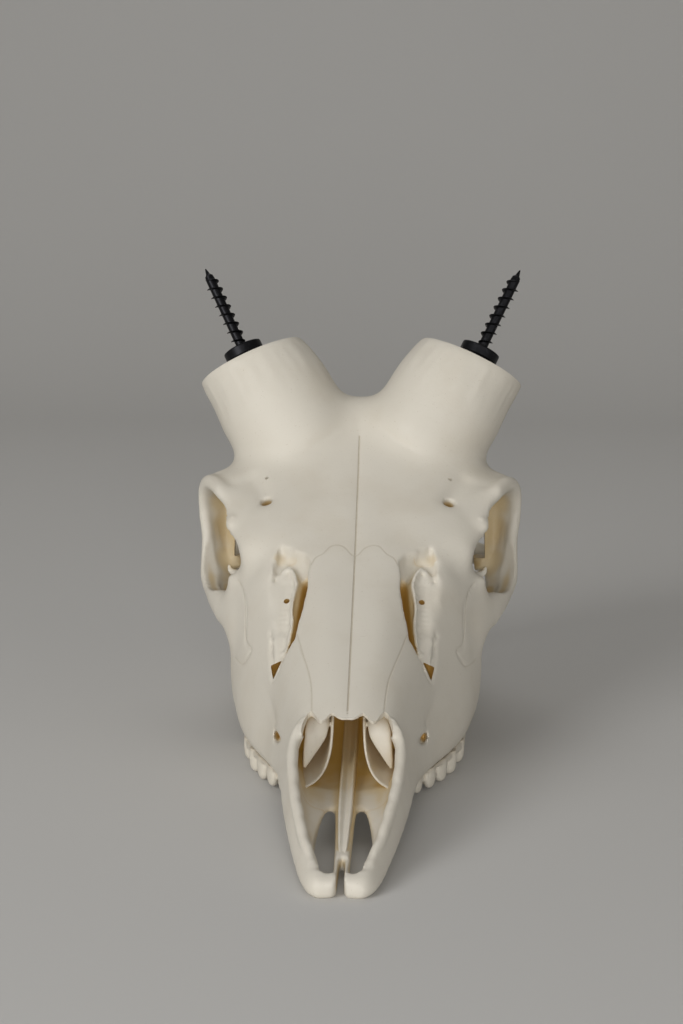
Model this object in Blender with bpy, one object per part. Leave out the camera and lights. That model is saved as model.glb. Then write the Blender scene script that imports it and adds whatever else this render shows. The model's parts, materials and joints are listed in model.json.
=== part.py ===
"""Cast deer skull for mounting shed antlers: an upper skull with two thick pedicles, and on each pedicle a
round collar with a coarse wood screw that an antler is screwed onto.

Sizes are in millimetres and become metres where a mesh is made. A place on the skull is (side, back, up):
side is the distance from the middle plane towards the animal's left, back the distance behind the tips of
the upper jaw, and up the height above the table.
"""

import math
from typing import NamedTuple

import bmesh
import bpy
import numpy as np
from mathutils import Matrix, Vector

# Driving sizes, in millimetres
MM = 0.001
MIDDLE_BACK = 137.4
GAP = 0.3
VOXEL = 1.2
SKULL_TRIANGLES = 5100
BIG = 400.0

# Pedicles, collars and screws
SEAT = Vector((42.2, 223.5, 131.4))
SEAT_AXIS = Vector((0.43, 0.27, 0.86)).normalized()
PEDICLE_RADIUS = 20.6
PEDICLE_LENGTH = 23.0
COLLAR_OFFSET = 2.6
COLLAR_RADIUS = 7.6
COLLAR_HEIGHT = 4.8
SCREW_LENGTH = 33.5
SCREW_POINT = 7.0
SCREW_CORE = 1.4
SCREW_THREAD = 1.1
SCREW_PITCH = 4.0

# Teeth
GUM_UP = 8.6

# Openings and cuts
VACUITY_DEPTH = 3.6
OUTSIDE = 12.0
ABOVE_FACE = 110.0
SEAT_CUT = 0.6
SEAT_WIDTH = 44.0
PEDICLE_CUT_WIDTH = 54.0


class Band(NamedTuple):
    """Half of a cross-section at one place along the skull, from the top down to the bottom."""

    back: float
    roof: float
    roof_half: float
    brow_half: float
    brow: float
    side_half: float
    side: float
    foot_half: float
    foot: float
    sole: float

    def outline(self):
        """Places from the middle of the top, round the side, to the middle of the bottom."""
        return [(0, self.back, self.roof), (self.roof_half, self.back, self.roof - 0.6),
                (self.brow_half, self.back, self.brow), (self.side_half, self.back, self.side),
                (self.foot_half, self.back, self.foot), (0, self.back, self.sole)]


FACE = [
    Band(60, 33, 6, 14, 29.5, 19.4, 17, 18.5, 6.6, 6.4),
    Band(72, 38.6, 7, 15, 33.5, 20.5, 18, 20, 8.2, 8),
    Band(88, 45.3, 9, 18, 37.5, 23, 20, 22, 8.4, 10),
    Band(105, 52.6, 11, 22, 41.5, 26.8, 22, 26.8, 8, 13),
    Band(120, 59.6, 12, 24, 48.5, 32, 26, 32, 8, 14),
    Band(135, 66.4, 14, 28.5, 56, 37.4, 31, 36, 8, 15),
    Band(150, 74, 16, 33.5, 65.5, 41.9, 38, 38.2, 8, 16),
    Band(163, 81.5, 18, 36, 75.5, 44.6, 47, 38.8, 8.4, 19),
    Band(172, 86, 17, 33, 80, 39, 55, 32, 16, 26),
    Band(180, 90, 16, 29, 82, 30, 60, 22, 36, 32),
]
BRAIN = [
    Band(160, 79, 12, 25, 70, 28, 56, 18, 31, 28),
    Band(178, 90, 12, 22.5, 78, 22, 58, 16, 36, 32),
    Band(195, 101, 14, 27, 86, 25, 64, 17, 39, 34),
    Band(212, 113, 16, 33, 99, 34.5, 76, 22, 42, 36),
    Band(226, 115, 15, 32, 102, 38.5, 74, 27, 44, 38),
    Band(240, 108, 14, 31, 95, 39.5, 70, 29, 45, 40),
    Band(254, 97, 12, 27, 86, 38.5, 64, 29, 46, 42),
    Band(263, 87, 10, 21, 80, 31, 62, 23, 49, 46),
    Band(267, 80, 7, 15, 74, 22, 61, 16, 53, 51),
]
SHELF = [
    Band(156, 77.5, 20, 34, 75.3, 43, 69, 36, 64, 60),
    Band(168, 84.6, 20, 36, 81.6, 45.5, 75.5, 38, 71, 68),
    Band(180, 91.5, 20, 37, 87.8, 48.5, 83.5, 40, 79, 76),
    Band(192, 99.5, 20, 40, 94.6, 54, 88, 42, 83.5, 82),
    Band(203, 108, 20, 39, 99, 57.4, 88.3, 44, 85, 88),
    Band(214, 116.5, 20, 37, 104, 46, 89.5, 38, 86.5, 92),
    Band(222, 117.5, 16, 31, 107, 38, 92, 30, 88.5, 94),
]
JAW_FRONT = [
    Band(0.5, 5.5, 3, 5.5, 5.6, 7.6, 3, 6.2, 0.0, -0.3),
    Band(4, 6.8, 4, 7.6, 6.9, 10.4, 3, 8.6, -0.3, -0.6),
    Band(12, 8.4, 4.5, 9, 8.6, 12.8, 4, 10.6, 0.2, 0),
    Band(20, 10.7, 5, 10.5, 11, 14.3, 5, 12.2, 1.4, 1.2),
    Band(30, 14.6, 6, 12, 15, 16, 7, 13.8, 2.4, 2.2),
    Band(45, 22, 6, 13.6, 21.4, 18.2, 10.5, 16, 4, 4.2),
    Band(60, 31, 6, 14, 29.5, 19.8, 14, 18.2, 6.2, 6.4),
    Band(72, 37, 6, 14.5, 33.5, 20.6, 17, 19.6, 8.8, 8.6),
]
NOSE_SCOOP = [
    Band(7, 60, 1.5, 2.6, 30, 3.2, 14, 2.4, 8.6, 7.9),
    Band(16, 60, 5, 8, 30, 8.2, 15, 6.6, 8.2, 7.2),
    Band(30, 60, 7, 11.4, 34, 11.4, 18, 9, 9, 7.6),
    Band(45, 60, 8, 13.8, 38, 14, 22, 10.8, 11.2, 9.6),
    Band(60, 58, 6, 14.6, 40, 15.4, 26, 12, 13.6, 12),
    Band(69, 50, 5, 14.6, 36, 15.8, 26, 12.4, 14, 12.6),
]
NOSE_DEPTH = [
    Band(58, 33, 5, 12, 29, 15, 21, 11, 13.6, 12.4),
    Band(72, 34.6, 6, 13, 30.5, 16.2, 21, 12.4, 14, 12.6),
    Band(88, 41, 8, 15.5, 34, 17.8, 23, 13.6, 15.6, 14),
    Band(105, 47, 8, 16.4, 38.5, 18.2, 26, 13.6, 18, 16.6),
    Band(120, 48, 6, 13, 39.5, 14, 29, 9.6, 21, 19.6),
]
PALATE = [
    Band(80, 9, 6, 10, 8, 11.2, 4, 11, -4, -6),
    Band(100, 12.5, 8, 13.5, 10, 15.4, 4, 15, -4, -6),
    Band(125, 15, 11, 18.5, 11.5, 21.6, 4, 21, -4, -6),
    Band(150, 16, 12, 20, 12.5, 23, 4, 23, -4, -6),
    Band(172, 20, 12, 20, 15, 23, 6, 23, -4, -6),
]

# Where the forms flow together: a place and how far round it
SOFT_SPOTS = [((12, 203, 110), 20), ((26, 196, 104), 22), ((40, 200, 100), 14), ((44, 210, 98), 12),
              ((42, 160, 46), 15), ((36, 247, 62), 16), ((26, 252, 40), 14), ((22, 176, 34), 16), ((0, 262, 86), 14)]


# Geometry helpers

def place(side, back, up):
    """The point of the model, in metres, for a place on the skull."""
    return Vector((side, back - MIDDLE_BACK, up)) * MM


def flow(points, steps):
    """Points of a smooth curve through the given ones, with a number of steps between neighbours."""
    knots = [Vector(p) for p in points]
    last = len(knots) - 1
    curve = []
    for i in range(last):
        a, b, c, d = (knots[min(max(i + k, 0), last)] for k in (-1, 0, 1, 2))
        for s in range(steps):
            t = s / steps
            curve.append(0.5 * (2 * b + (c - a) * t + (2 * a - 5 * b + 4 * c - d) * t * t
                                + (3 * b - a - 3 * c + d) * t ** 3))
    curve.append(knots[-1])
    return curve


def add_object(name, bm, recalculate=True):
    """A named object from a bmesh, with its faces turned out."""
    if recalculate:
        bmesh.ops.recalc_face_normals(bm, faces=bm.faces[:])
    mesh = bpy.data.meshes.new(name)
    bm.to_mesh(mesh)
    bm.free()
    made = bpy.data.objects.new(name, mesh)
    bpy.context.scene.collection.objects.link(made)
    return made


def from_rings(name, rings):
    """A closed body whose rings of points, in metres, follow each other, with both ends capped."""
    bm = bmesh.new()
    loops = [[bm.verts.new(p) for p in ring] for ring in rings]
    count = len(loops[0])
    for near, far in zip(loops, loops[1:]):
        for i in range(count):
            j = (i + 1) % count
            bm.faces.new((near[i], near[j], far[j], far[i]))
    bm.faces.new(loops[0][::-1])
    bm.faces.new(loops[-1])
    return add_object(name, bm)


def loft(name, bands, along=3, around=3):
    """A closed body through cross-sections that are alike on both sides of the middle plane."""
    halves = [flow(band.outline(), around) for band in bands]
    lanes = [flow([half[k] for half in halves], along) for k in range(len(halves[0]))]
    rings = []
    for stops in zip(*lanes):
        left = [place(max(p.x, 0.0), p.y, p.z) for p in stops]
        right = [Vector((-p.x, p.y, p.z)) for p in left[-2:0:-1]]
        rings.append(left + right)
    return from_rings(name, rings)


def sweep(name, path, radii, flat=1.0, wide=(0, 0, 1), steps=4, sides=12):
    """A closed body along a smooth path, with a radius at each point of it. Its section is an ellipse whose
    long radius lies towards wide, and whose short one is flat times as long."""
    spine = flow(path, steps)
    sizes = flow([(r, 0, 0) for r in radii], steps)
    rings = []
    for i, centre in enumerate(spine):
        ahead = (spine[min(i + 1, len(spine) - 1)] - spine[max(i - 1, 0)]).normalized()
        thin = ahead.cross(Vector(wide)).normalized()
        broad = thin.cross(ahead)
        ring = []
        for k in range(sides):
            angle = math.tau * k / sides
            ring.append(place(*(centre + thin * (sizes[i].x * flat * math.cos(angle))
                                + broad * (sizes[i].x * math.sin(angle)))))
        rings.append(ring)
    return from_rings(name, rings)


def ball(name, centre, radii, turn=0.0):
    """An ellipsoid with three radii, turned about the vertical by an angle in degrees."""
    bm = bmesh.new()
    bmesh.ops.create_icosphere(bm, subdivisions=3, radius=1.0)
    bmesh.ops.scale(bm, vec=Vector(radii) * MM, verts=bm.verts[:])
    bmesh.ops.rotate(bm, cent=(0, 0, 0), matrix=Matrix.Rotation(math.radians(turn), 3, "Z"), verts=bm.verts[:])
    bmesh.ops.translate(bm, vec=place(*centre), verts=bm.verts[:])
    return add_object(name, bm)


def slab(name, outline, along, start, end):
    """An outline extruded along one direction, which names what its points leave out: side, back or up."""
    spot = {
        "side": lambda p, v: place(v, p[0], p[1]),
        "back": lambda p, v: place(p[0], v, p[1]),
        "up": lambda p, v: place(p[0], p[1], v),
    }[along]
    return from_rings(name, [[spot(p, v) for p in outline] for v in (start, end)])


def twin(made):
    """A copy of an object on the other side of the middle plane."""
    bm = bmesh.new()
    bm.from_mesh(made.data)
    bmesh.ops.scale(bm, vec=(-1, 1, 1), verts=bm.verts[:])
    return add_object(made.name + "_twin", bm)


def both(made):
    """The object and its mirror image."""
    return [made, twin(made)]


def gather(name, objects):
    """One object from several, whose surfaces may still cross."""
    bm = bmesh.new()
    for made in objects:
        bm.from_mesh(made.data)
        bpy.data.objects.remove(made)
    return add_object(name, bm, recalculate=False)


def fix(made):
    """Applies an object's modifiers to its mesh."""
    graph = bpy.context.evaluated_depsgraph_get()
    graph.update()
    old = made.data
    mesh = bpy.data.meshes.new_from_object(made.evaluated_get(graph))
    made.modifiers.clear()
    made.data = mesh
    bpy.data.meshes.remove(old)
    return made


def ease(made, spots, rounds):
    """Smooths the surface near some places on the left and their mirror images, so that forms flow together."""
    mesh = made.data
    count = len(mesh.vertices)
    points = np.empty(count * 3)
    mesh.vertices.foreach_get("co", points)
    points = points.reshape(-1, 3)
    ends = np.empty(len(mesh.edges) * 2, dtype=np.int64)
    mesh.edges.foreach_get("vertices", ends)
    near, far = ends.reshape(-1, 2).T
    weight = np.zeros(count)
    for centre, radius in spots:
        for hand in (1, -1):
            middle = np.array(place(hand * centre[0], centre[1], centre[2]))
            reach = np.linalg.norm(points - middle, axis=1) / (radius * MM)
            weight = np.maximum(weight, np.clip(1.5 * (1 - reach), 0, 1))
    neighbours = np.maximum(np.bincount(np.append(near, far), minlength=count), 1)[:, None]
    share = 0.5 * weight[:, None]
    for _ in range(rounds):
        total = np.stack([np.bincount(near, points[far, axis], count) + np.bincount(far, points[near, axis], count)
                          for axis in range(3)], axis=1)
        points += share * (total / neighbours - points)
    mesh.vertices.foreach_set("co", points.ravel())
    mesh.update()
    return made


def fuse(made, voxel, rounds):
    """Makes crossing bodies one surface, and softens it by rounds of smoothing."""
    remesh = made.modifiers.new("remesh", "REMESH")
    remesh.mode = "VOXEL"
    remesh.voxel_size = voxel * MM
    smooth = made.modifiers.new("smooth", "SMOOTH")
    smooth.factor = 0.5
    smooth.iterations = rounds
    return fix(made)


def carve(made, tool, operation="DIFFERENCE", solver="MANIFOLD"):
    """Cuts an object with a tool, or keeps what they share, and leaves the tool as it is. The exact solver
    loses whole pieces of the thinned skull, so it only joins the small parts."""
    step = made.modifiers.new("step", "BOOLEAN")
    step.operation = operation
    step.solver = solver
    step.object = tool
    return fix(made)


def copy_of(made, name):
    """A second object with its own mesh."""
    again = made.copy()
    again.data = made.data.copy()
    again.name = name
    bpy.context.scene.collection.objects.link(again)
    return again


def grown(made, distance):
    """A copy of an object whose faces are all moved out by a distance."""
    bm = bmesh.new()
    bm.from_mesh(made.data)
    bm.normal_update()
    moves = [(v, v.normal * (distance * MM * v.calc_shell_factor())) for v in bm.verts]
    for vertex, move in moves:
        vertex.co += move
    return add_object(made.name + "_grown", bm)


def largest_shell(made):
    """Keeps only the biggest closed surface of an object."""
    bm = bmesh.new()
    bm.from_mesh(made.data)
    left = set(bm.verts)
    shells = []
    while left:
        seed = left.pop()
        shell = {seed}
        edge = [seed]
        while edge:
            vertex = edge.pop()
            for link in vertex.link_edges:
                other = link.other_vert(vertex)
                if other in left:
                    left.remove(other)
                    shell.add(other)
                    edge.append(other)
        shells.append(shell)
    shells.sort(key=len)
    for shell in shells[:-1]:
        bmesh.ops.delete(bm, geom=list(shell), context="VERTS")
    bm.to_mesh(made.data)
    bm.free()
    return made


def part_off(whole, name, claim):
    """Takes what lies inside the claim out of the whole, as a piece of its own, with a gap all round it."""
    piece = carve(copy_of(whole, name), claim, "INTERSECT")
    wider = grown(claim, GAP)
    carve(whole, wider)
    bpy.data.objects.remove(wider)
    bpy.data.objects.remove(claim)
    return largest_shell(piece)


def finish(name, colour, roughness, metallic=0.0):
    """A plain material."""
    material = bpy.data.materials.new(name)
    material.use_nodes = True
    shader = material.node_tree.nodes["Principled BSDF"]
    shader.inputs["Base Color"].default_value = (*colour, 1.0)
    shader.inputs["Roughness"].default_value = roughness
    shader.inputs["Metallic"].default_value = metallic
    return material


# The skull's forms

def along_axis(depth, inward=0.0):
    """The place at a depth under the left pedicle's seat, on its axis, moved towards the middle plane."""
    return SEAT - SEAT_AXIS * depth - Vector((inward, 0, 0))


def orbit_forms():
    """The left eye socket's ring, the bar behind it and the cheekbone's arch."""
    ring = sweep("ring", [(44.5, 170, 77), (49, 183, 87), (55.5, 196, 89.5), (58.5, 204, 81.5), (57, 203, 67),
                          (56, 194.5, 53.5), (50.5, 180.5, 49), (45.5, 168.5, 52), (42.8, 163, 61)],
                 [3.2, 3, 3, 2.6, 2.6, 3.2, 3.4, 3.4, 3.2])
    bar = sweep("bar", [(50.5, 200, 92), (53, 208, 84), (53, 210.5, 73), (52.5, 207, 60), (51, 198, 49)],
                [6.5, 7.2, 7.4, 7.6, 7], flat=0.36, wide=(-0.72, 0.69, 0))
    arch = sweep("arch", [(42.6, 156, 42), (47.6, 171, 46.5), (53.4, 187, 50.5), (54.4, 202, 53.5), (51.5, 217, 55.5),
                          (45, 229, 57), (34, 234, 57)],
                 [7, 6.4, 5.2, 4.6, 4.2, 5, 6.5], flat=0.6)
    return [ring, bar, arch]


def pedicle_form():
    """The left pedicle, which widens towards the middle of the forehead."""
    stops = [(0, 0, -3.2), (0.8, 0, -1), (3, 0, 0), (9, 0, -0.4), (16, 0, -0.6), (25, 1.6, 0.8), (40, 6, 2)]
    return sweep("pedicle", [along_axis(depth, inward) for depth, inward, _ in stops],
                 [PEDICLE_RADIUS + wider for _, _, wider in stops], wide=(0, 1, 0), sides=28)


def rear_forms():
    """What stands out on the left of the back and base of the skull."""
    jugular = sweep("jugular", [(26, 248, 52), (26, 252, 36), (24, 253, 20), (22, 251, 7), (21.5, 250, -3)],
                    [12, 10, 7.6, 5.4, 4.4], flat=0.56, wide=(0.35, 1, 0))
    wing = sweep("wing", [(17, 160, 26), (16, 176, 25), (15, 190, 28), (15, 202, 35)], [7, 9, 8, 5], flat=0.3)
    return [jugular, wing, ball("condyle", (11.5, 266.5, 47), (9, 8, 9.5)), ball("bulla", (20, 238, 37), (8, 11, 9)),
            ball("ear", (39, 240, 56), (6, 8, 7))]


def skull_forms():
    """Everything that the skull is built up from."""
    forms = [loft("face", FACE), loft("brain", BRAIN), loft("shelf", SHELF), loft("jaw_front", JAW_FRONT)]
    for form in orbit_forms() + [pedicle_form()] + rear_forms():
        forms += both(form)
    forms.append(sweep("saddle", [(-26, 217, 104), (0, 217, 104.5), (26, 217, 104)], [15, 14.6, 15]))
    forms.append(sweep("base", [(0, 168, 30), (0, 190, 34), (0, 215, 38), (0, 240, 42), (0, 264, 43)],
                       [9, 8, 9, 11, 12]))
    forms.append(sweep("crest", [(-37, 247, 62), (-30, 257, 79), (0, 263.5, 88), (30, 257, 79), (37, 247, 62)],
                       [4, 3.4, 4, 3.4, 4]))
    return forms


def skull_openings():
    """Everything that is hollowed out of the skull."""
    fissure = [(3, 15.5), (5, 14.2), (7.4, 18), (9, 26), (9, 36), (7.2, 45), (4.6, 50), (3.2, 48), (2.8, 32)]
    tools = [loft("scoop", NOSE_SCOOP), loft("nose", NOSE_DEPTH), loft("palate", PALATE)]
    tools += both(vacuity_tool())
    tools += both(slab("fissure", fissure, "up", -5, 14))
    tools += both(sweep("fissure_front", [(4.2, 8, 8.4), (4.9, 11, 6.8), (5.7, 15, 4.8), (6.4, 21, 2.8), (6.4, 28, 1)],
                        [1.2, 2.3, 2.8, 2.9, 2.6]))
    tools.append(slab("slit", [(-1.6, -10), (1.6, -10), (1.0, 21), (0, 22.5), (-1.0, 21)], "up", -5, 30))
    tools += both(ball("orbit", (46, 185.5, 67), (21, 18.5, 16.8), turn=-24))
    tools += both(ball("temple", (44, 212, 72), (9.5, 22, 17)))
    tools += both(ball("temple_low", (41, 208, 44), (8.5, 16, 14)))
    tools.append(ball("magnum", (0, 268, 58), (8.5, 12, 8)))
    tools += both(ball("supraorbital", (32.8, 176, 87), (2.8, 3.4, 3.4)))
    tools += both(sweep("infraorbital", [(28, 79, 17), (24.2, 89.5, 21.5), (17, 103, 25)], [3, 2.8, 2.2]))
    return tools


def face_slope(side, back):
    """How high the left of the face is beside the nasal bone, where it falls steeper further out."""
    near_nose = 71 + 0.61 * (back - 147)
    at_cheek = 67.4 + 0.92 * (back - 147)
    share = (side - 16) / 12
    return near_nose + (at_cheek - near_nose) * share


def vacuity_tool():
    """The left opening between the nasal bone and the tear bone, which follows the slope of the face."""
    outline = [(16, 149.5), (22.2, 152.1), (27.4, 154), (28, 147), (28.3, 133), (27.6, 119), (26.4, 112.4),
               (24, 110.2), (19, 113.6), (17, 131), (15.4, 143)]
    return from_rings("vacuity", [[place(side, back, face_slope(side, back) + depth) for side, back in outline]
                                  for depth in (-VACUITY_DEPTH, OUTSIDE)])


def skull_body():
    """The whole skull as one body, light enough to part."""
    whole = fuse(gather("skull", skull_forms()), VOXEL, 10)
    ease(whole, SOFT_SPOTS, 80)
    hollow = fuse(gather("hollow", skull_openings()), VOXEL / 2, 2)
    carve(whole, hollow)
    bpy.data.objects.remove(hollow)
    fuse(whole, VOXEL * 0.8, 3)
    count = sum(len(face.vertices) - 2 for face in whole.data.polygons)
    fewer = whole.modifiers.new("fewer", "DECIMATE")
    fewer.ratio = SKULL_TRIANGLES / count
    return fix(whole)


def half_box(name, centre, direction, width):
    """A large block that starts at the centre and fills the side that the direction points to."""
    turn = direction.to_track_quat("Z", "Y").to_matrix()
    bm = bmesh.new()
    bmesh.ops.create_cube(bm, size=1.0)
    bmesh.ops.translate(bm, vec=(0, 0, 0.5), verts=bm.verts[:])
    bmesh.ops.scale(bm, vec=Vector((width, width, BIG / 4)) * MM, verts=bm.verts[:])
    bmesh.ops.rotate(bm, cent=(0, 0, 0), matrix=turn, verts=bm.verts[:])
    bmesh.ops.translate(bm, vec=place(*centre), verts=bm.verts[:])
    return add_object(name, bm)


def cut_flats(whole):
    """Makes the pedicles' seats, the tooth beds and all that stands on the table exactly flat."""
    tools = both(half_box("seat", SEAT - SEAT_AXIS * SEAT_CUT, SEAT_AXIS, SEAT_WIDTH))
    tools += both(slab("tooth_bed", [(15, 91), (17, 166), (46, 166), (46, 91)], "up", -10, GUM_UP))
    tools.append(slab("floor", [(-80, -20), (80, -20), (80, 300), (-80, 300)], "up", -30, 0))
    for tool in tools:
        carve(whole, tool)
        bpy.data.objects.remove(tool)


# Where the skull is parted

def nasal_claim():
    """The left nasal bone: a strip beside the middle line, with its thickness under it, that ends in a point
    beside the forehead's own."""
    middle = GAP / 2
    stops = [(55, middle, 12, 26), (70, middle, 12, 33.5), (86, middle, 12.8, 40), (100, middle, 15.6, 45),
             (113, middle, 19.4, 48), (131, middle, 16.8, 56), (143.6, middle, 15, 62), (147.2, middle, 11.4, 64),
             (151.4, 4.8, 7.6, 66)]
    return from_rings("nasal_claim", [[place(inner, back, low), place(outer, back, low),
                                       place(outer, back, ABOVE_FACE), place(inner, back, ABOVE_FACE)]
                                      for back, inner, outer, low in stops])


def premaxilla_claim():
    """The left premaxilla: the front of the jaw on one side."""
    return slab("premaxilla_claim", [(-20, -20), (42, -20), (68, 60), (-20, 60)], "side", GAP / 2, 60)


def pedicle_claim():
    """The left pedicle, down to where it grows out of the forehead."""
    return half_box("pedicle_claim", along_axis(PEDICLE_LENGTH, 3), SEAT_AXIS, PEDICLE_CUT_WIDTH)


def cheekbone_claim():
    """The left cheekbone: the lower rim of the eye socket, half the bar behind it, and the arch."""
    outline = [(39.5, 58), (47, 58), (47, 80), (90, 80), (90, 37), (46, 37), (43, 31), (39.5, 34)]
    return slab("cheekbone_claim", outline, "back", 147, 221)


def muzzle_claim():
    """The muzzle: all that lies in front of a slanting plane before the forehead."""
    return slab("muzzle_claim", [(-20, -20), (172, -20), (146, 90), (-20, 90)], "side", -90, 90)


def forehead_claim():
    """The forehead: the roof of the eye sockets and all above it, back to behind the pedicles."""
    outline = [(130, 36), (166, 42), (190, 58), (215, 80), (228, 96), (241, 107), (251, 125), (251, 170), (130, 170)]
    return slab("forehead_claim", outline, "side", -90, 90)


def part_skull(whole):
    """Parts the skull into its named bones, with what is left over as the braincase."""
    pieces = []
    for name, claim in (("nasal", nasal_claim), ("premaxilla", premaxilla_claim),
                        ("pedicle", pedicle_claim), ("cheekbone", cheekbone_claim)):
        left = claim()
        right = twin(left)
        pieces.append(part_off(whole, name + "_left", left))
        pieces.append(part_off(whole, name + "_right", right))
    pieces.append(part_off(whole, "muzzle", muzzle_claim()))
    pieces.append(part_off(whole, "forehead", forehead_claim()))
    whole.name = "braincase"
    pieces.append(largest_shell(whole))
    return pieces


# Teeth, and the thin bones in the nose

def tooth_row():
    """The left row of six cheek teeth, each of one or two lobes, joined at the gum."""
    rows = [("P2", 98, 20.4, 1, 6.6), ("P3", 108, 24, 1, 8.2), ("P4", 118, 27.4, 1, 9.4), ("M1", 129.5, 29.8, 2, 11.2),
            ("M2", 143, 32.4, 2, 11.8), ("M3", 156.5, 33.4, 2, 11.2)]
    sides = 6
    lobes = []
    for name, middle, half, count, width in rows:
        for k in range(count):
            back = middle + (k - (count - 1) / 2) * 6.4
            reach = 4.6 if count == 1 else 3.7
            stops = [(0.0 if name != "P2" else 0.8, 0.86), (2.2, 1.0), (GUM_UP - GAP, 0.92)]
            rings = []
            for up, swell in stops:
                ring = []
                for step in range(sides):
                    angle = math.tau * (step + 0.5) / sides
                    bulge = 1.0 + 0.1 * math.cos(angle)
                    ring.append(place(half + width / 2 * swell * bulge * math.cos(angle),
                                      back + reach * swell * math.sin(angle), up))
                rings.append(ring)
            lobes.append(from_rings(name, rings))
    path = [(row[2], row[1]) for row in rows]
    inner = [(half - 2.6, back) for half, back in path]
    outer = [(half + 2.6, back) for half, back in path]
    lobes.append(slab("gum_line", inner + outer[::-1], "up", 3.0, GUM_UP - GAP))
    row = lobes.pop()
    for lobe in lobes:
        carve(row, lobe, "UNION", "EXACT")
        bpy.data.objects.remove(lobe)
    row.name = "teeth_left"
    return row


def turbinate():
    """The left scrolls of thin bone inside the nose: a rounded leaf in front of a wider one."""
    leaf = sweep("leaf", [(10.5, 84, 33), (11.2, 77, 29), (12.0, 72.5, 22), (13.0, 71, 15.5)],
                 [2.2, 4.0, 3.2, 0.9], flat=0.42, wide=(1, -0.35, 0), sides=8, steps=3)
    front = flow([(4.8, 78, 32), (5.4, 73, 22.5), (8.2, 67, 16.4), (12.8, 62.5, 14.6)], 3)
    rings = []
    for k, point in enumerate(front):
        rear = point + Vector((2.2, 30, 7 - 0.35 * k))
        lift = Vector((0.55, 0, 0.55))
        rings.append([place(*(point - lift)), place(*(point + lift)), place(*(rear + lift)), place(*(rear - lift))])
    scroll = from_rings("turbinate_left", rings)
    carve(scroll, leaf, "UNION", "EXACT")
    bpy.data.objects.remove(leaf)
    return scroll


def vomer():
    """The grooved bone that stands along the middle of the floor of the nose."""
    stops = [(26, 4.8, 8.6, 3.6), (50, 7.2, 11.2, 3.4), (80, 11.0, 16.4, 2.7), (116, 16.6, 23.0, 2.5)]
    rings = []
    for back, low, top, half in stops:
        wall = half - 1.2
        rings.append([place(x, back, z) for x, z in (
            (-half, low), (half, low), (half, top), (wall, top), (wall, top - 1.8), (-wall, top - 1.8),
            (-wall, top), (-half, top))])
    return from_rings("vomer", rings)


def seat_in(piece, hosts):
    """Cuts a socket for a piece, with a gap round it, into each of the hosts."""
    tool = grown(piece, GAP)
    for host in hosts:
        carve(host, tool)
        largest_shell(host)
    bpy.data.objects.remove(tool)


# Fastenings

def on_seat(made):
    """Moves a fastening that was made upright at the origin onto the left pedicle's seat."""
    outward = Vector((1, 0, 0)) - SEAT_AXIS * SEAT_AXIS.x
    foot = SEAT + outward.normalized() * COLLAR_OFFSET
    turn = SEAT_AXIS.to_track_quat("Z", "Y").to_matrix().to_4x4()
    made.data.transform(Matrix.Translation(place(*foot)) @ turn)
    return made


def collar():
    """The round collar under the left screw, with its upper edge bevelled."""
    low = GAP - SEAT_CUT
    profile = [(COLLAR_RADIUS - 0.3, low), (COLLAR_RADIUS, low + 0.4), (COLLAR_RADIUS, COLLAR_HEIGHT - 0.9),
               (COLLAR_RADIUS - 0.8, COLLAR_HEIGHT)]
    sides = 28
    rings = []
    for radius, up in profile:
        rings.append([Vector((radius * math.cos(math.tau * k / sides), radius * math.sin(math.tau * k / sides), up)) * MM
                      for k in range(sides)])
    return on_seat(from_rings("collar_left", rings))


def screw():
    """The left wood screw: a core that ends in a point, with a coarse ridge winding up it."""
    sides = 8
    rows_per_turn = 4
    rows = int(SCREW_LENGTH / SCREW_PITCH * rows_per_turn)
    rings = []
    for row in range(rows + 1):
        up = SCREW_LENGTH * row / rows
        fade = min(1.0, (SCREW_LENGTH - up) / SCREW_POINT)
        ring = []
        for k in range(sides):
            turns = up / SCREW_PITCH - k / sides
            ridge = max(0.0, 1.0 - 4.2 * abs(turns - round(turns)))
            radius = SCREW_CORE * max(fade, 0.12) + SCREW_THREAD * ridge * min(fade * 1.6, 1.0) * min(1.0, up / 1.5)
            angle = math.tau * k / sides
            ring.append(Vector((radius * math.cos(angle), radius * math.sin(angle), COLLAR_HEIGHT + GAP + up)) * MM)
        rings.append(ring)
    return on_seat(from_rings("screw_left", rings))


def mirrored_node(made):
    """The right-hand copy of a left-hand node."""
    right = twin(made)
    right.name = made.name.replace("_left", "_right")
    return right


def main():
    """Builds every node of the skull mount."""
    for old in list(bpy.data.objects):
        bpy.data.objects.remove(old)
    cast = finish("cast_bone", (0.60, 0.56, 0.49), 0.5)
    enamel = finish("cast_teeth", (0.60, 0.55, 0.46), 0.45)
    black = finish("black_steel", (0.02, 0.02, 0.022), 0.35, 0.8)
    whole = skull_body()
    cut_flats(whole)
    bones = {piece.name: piece for piece in part_skull(whole)}
    thin = [turbinate(), vomer()]
    thin.append(mirrored_node(thin[0]))
    for piece in thin:
        seat_in(piece, [bones["muzzle"], bones["premaxilla_left"], bones["premaxilla_right"]])
        bones[piece.name] = piece
    for piece in bones.values():
        piece.data.materials.append(cast)
    teeth = tooth_row()
    for piece in (teeth, mirrored_node(teeth)):
        piece.data.materials.append(enamel)
    for made in (collar(), screw()):
        for piece in (made, mirrored_node(made)):
            piece.data.materials.append(black)


if __name__ == "__main__":
    main()
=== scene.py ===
"""Deer skull mount, dressed for its photograph: an upper skull cast in one piece and parted along its
sutures, with a black collar and a coarse wood screw on each thick pedicle.

Sizes are in millimetres and become metres where a mesh is made. A place on the skull is (side, back, up):
side is the distance from the middle plane towards the animal's left, back the distance behind the tips of
the upper jaw, and up the height above the table. Forms are made on the left and mirrored to the right.
"""

import json
import logging
import math
from dataclasses import dataclass
from enum import Enum
from typing import Iterable, NamedTuple, Optional, Sequence, Union

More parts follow.
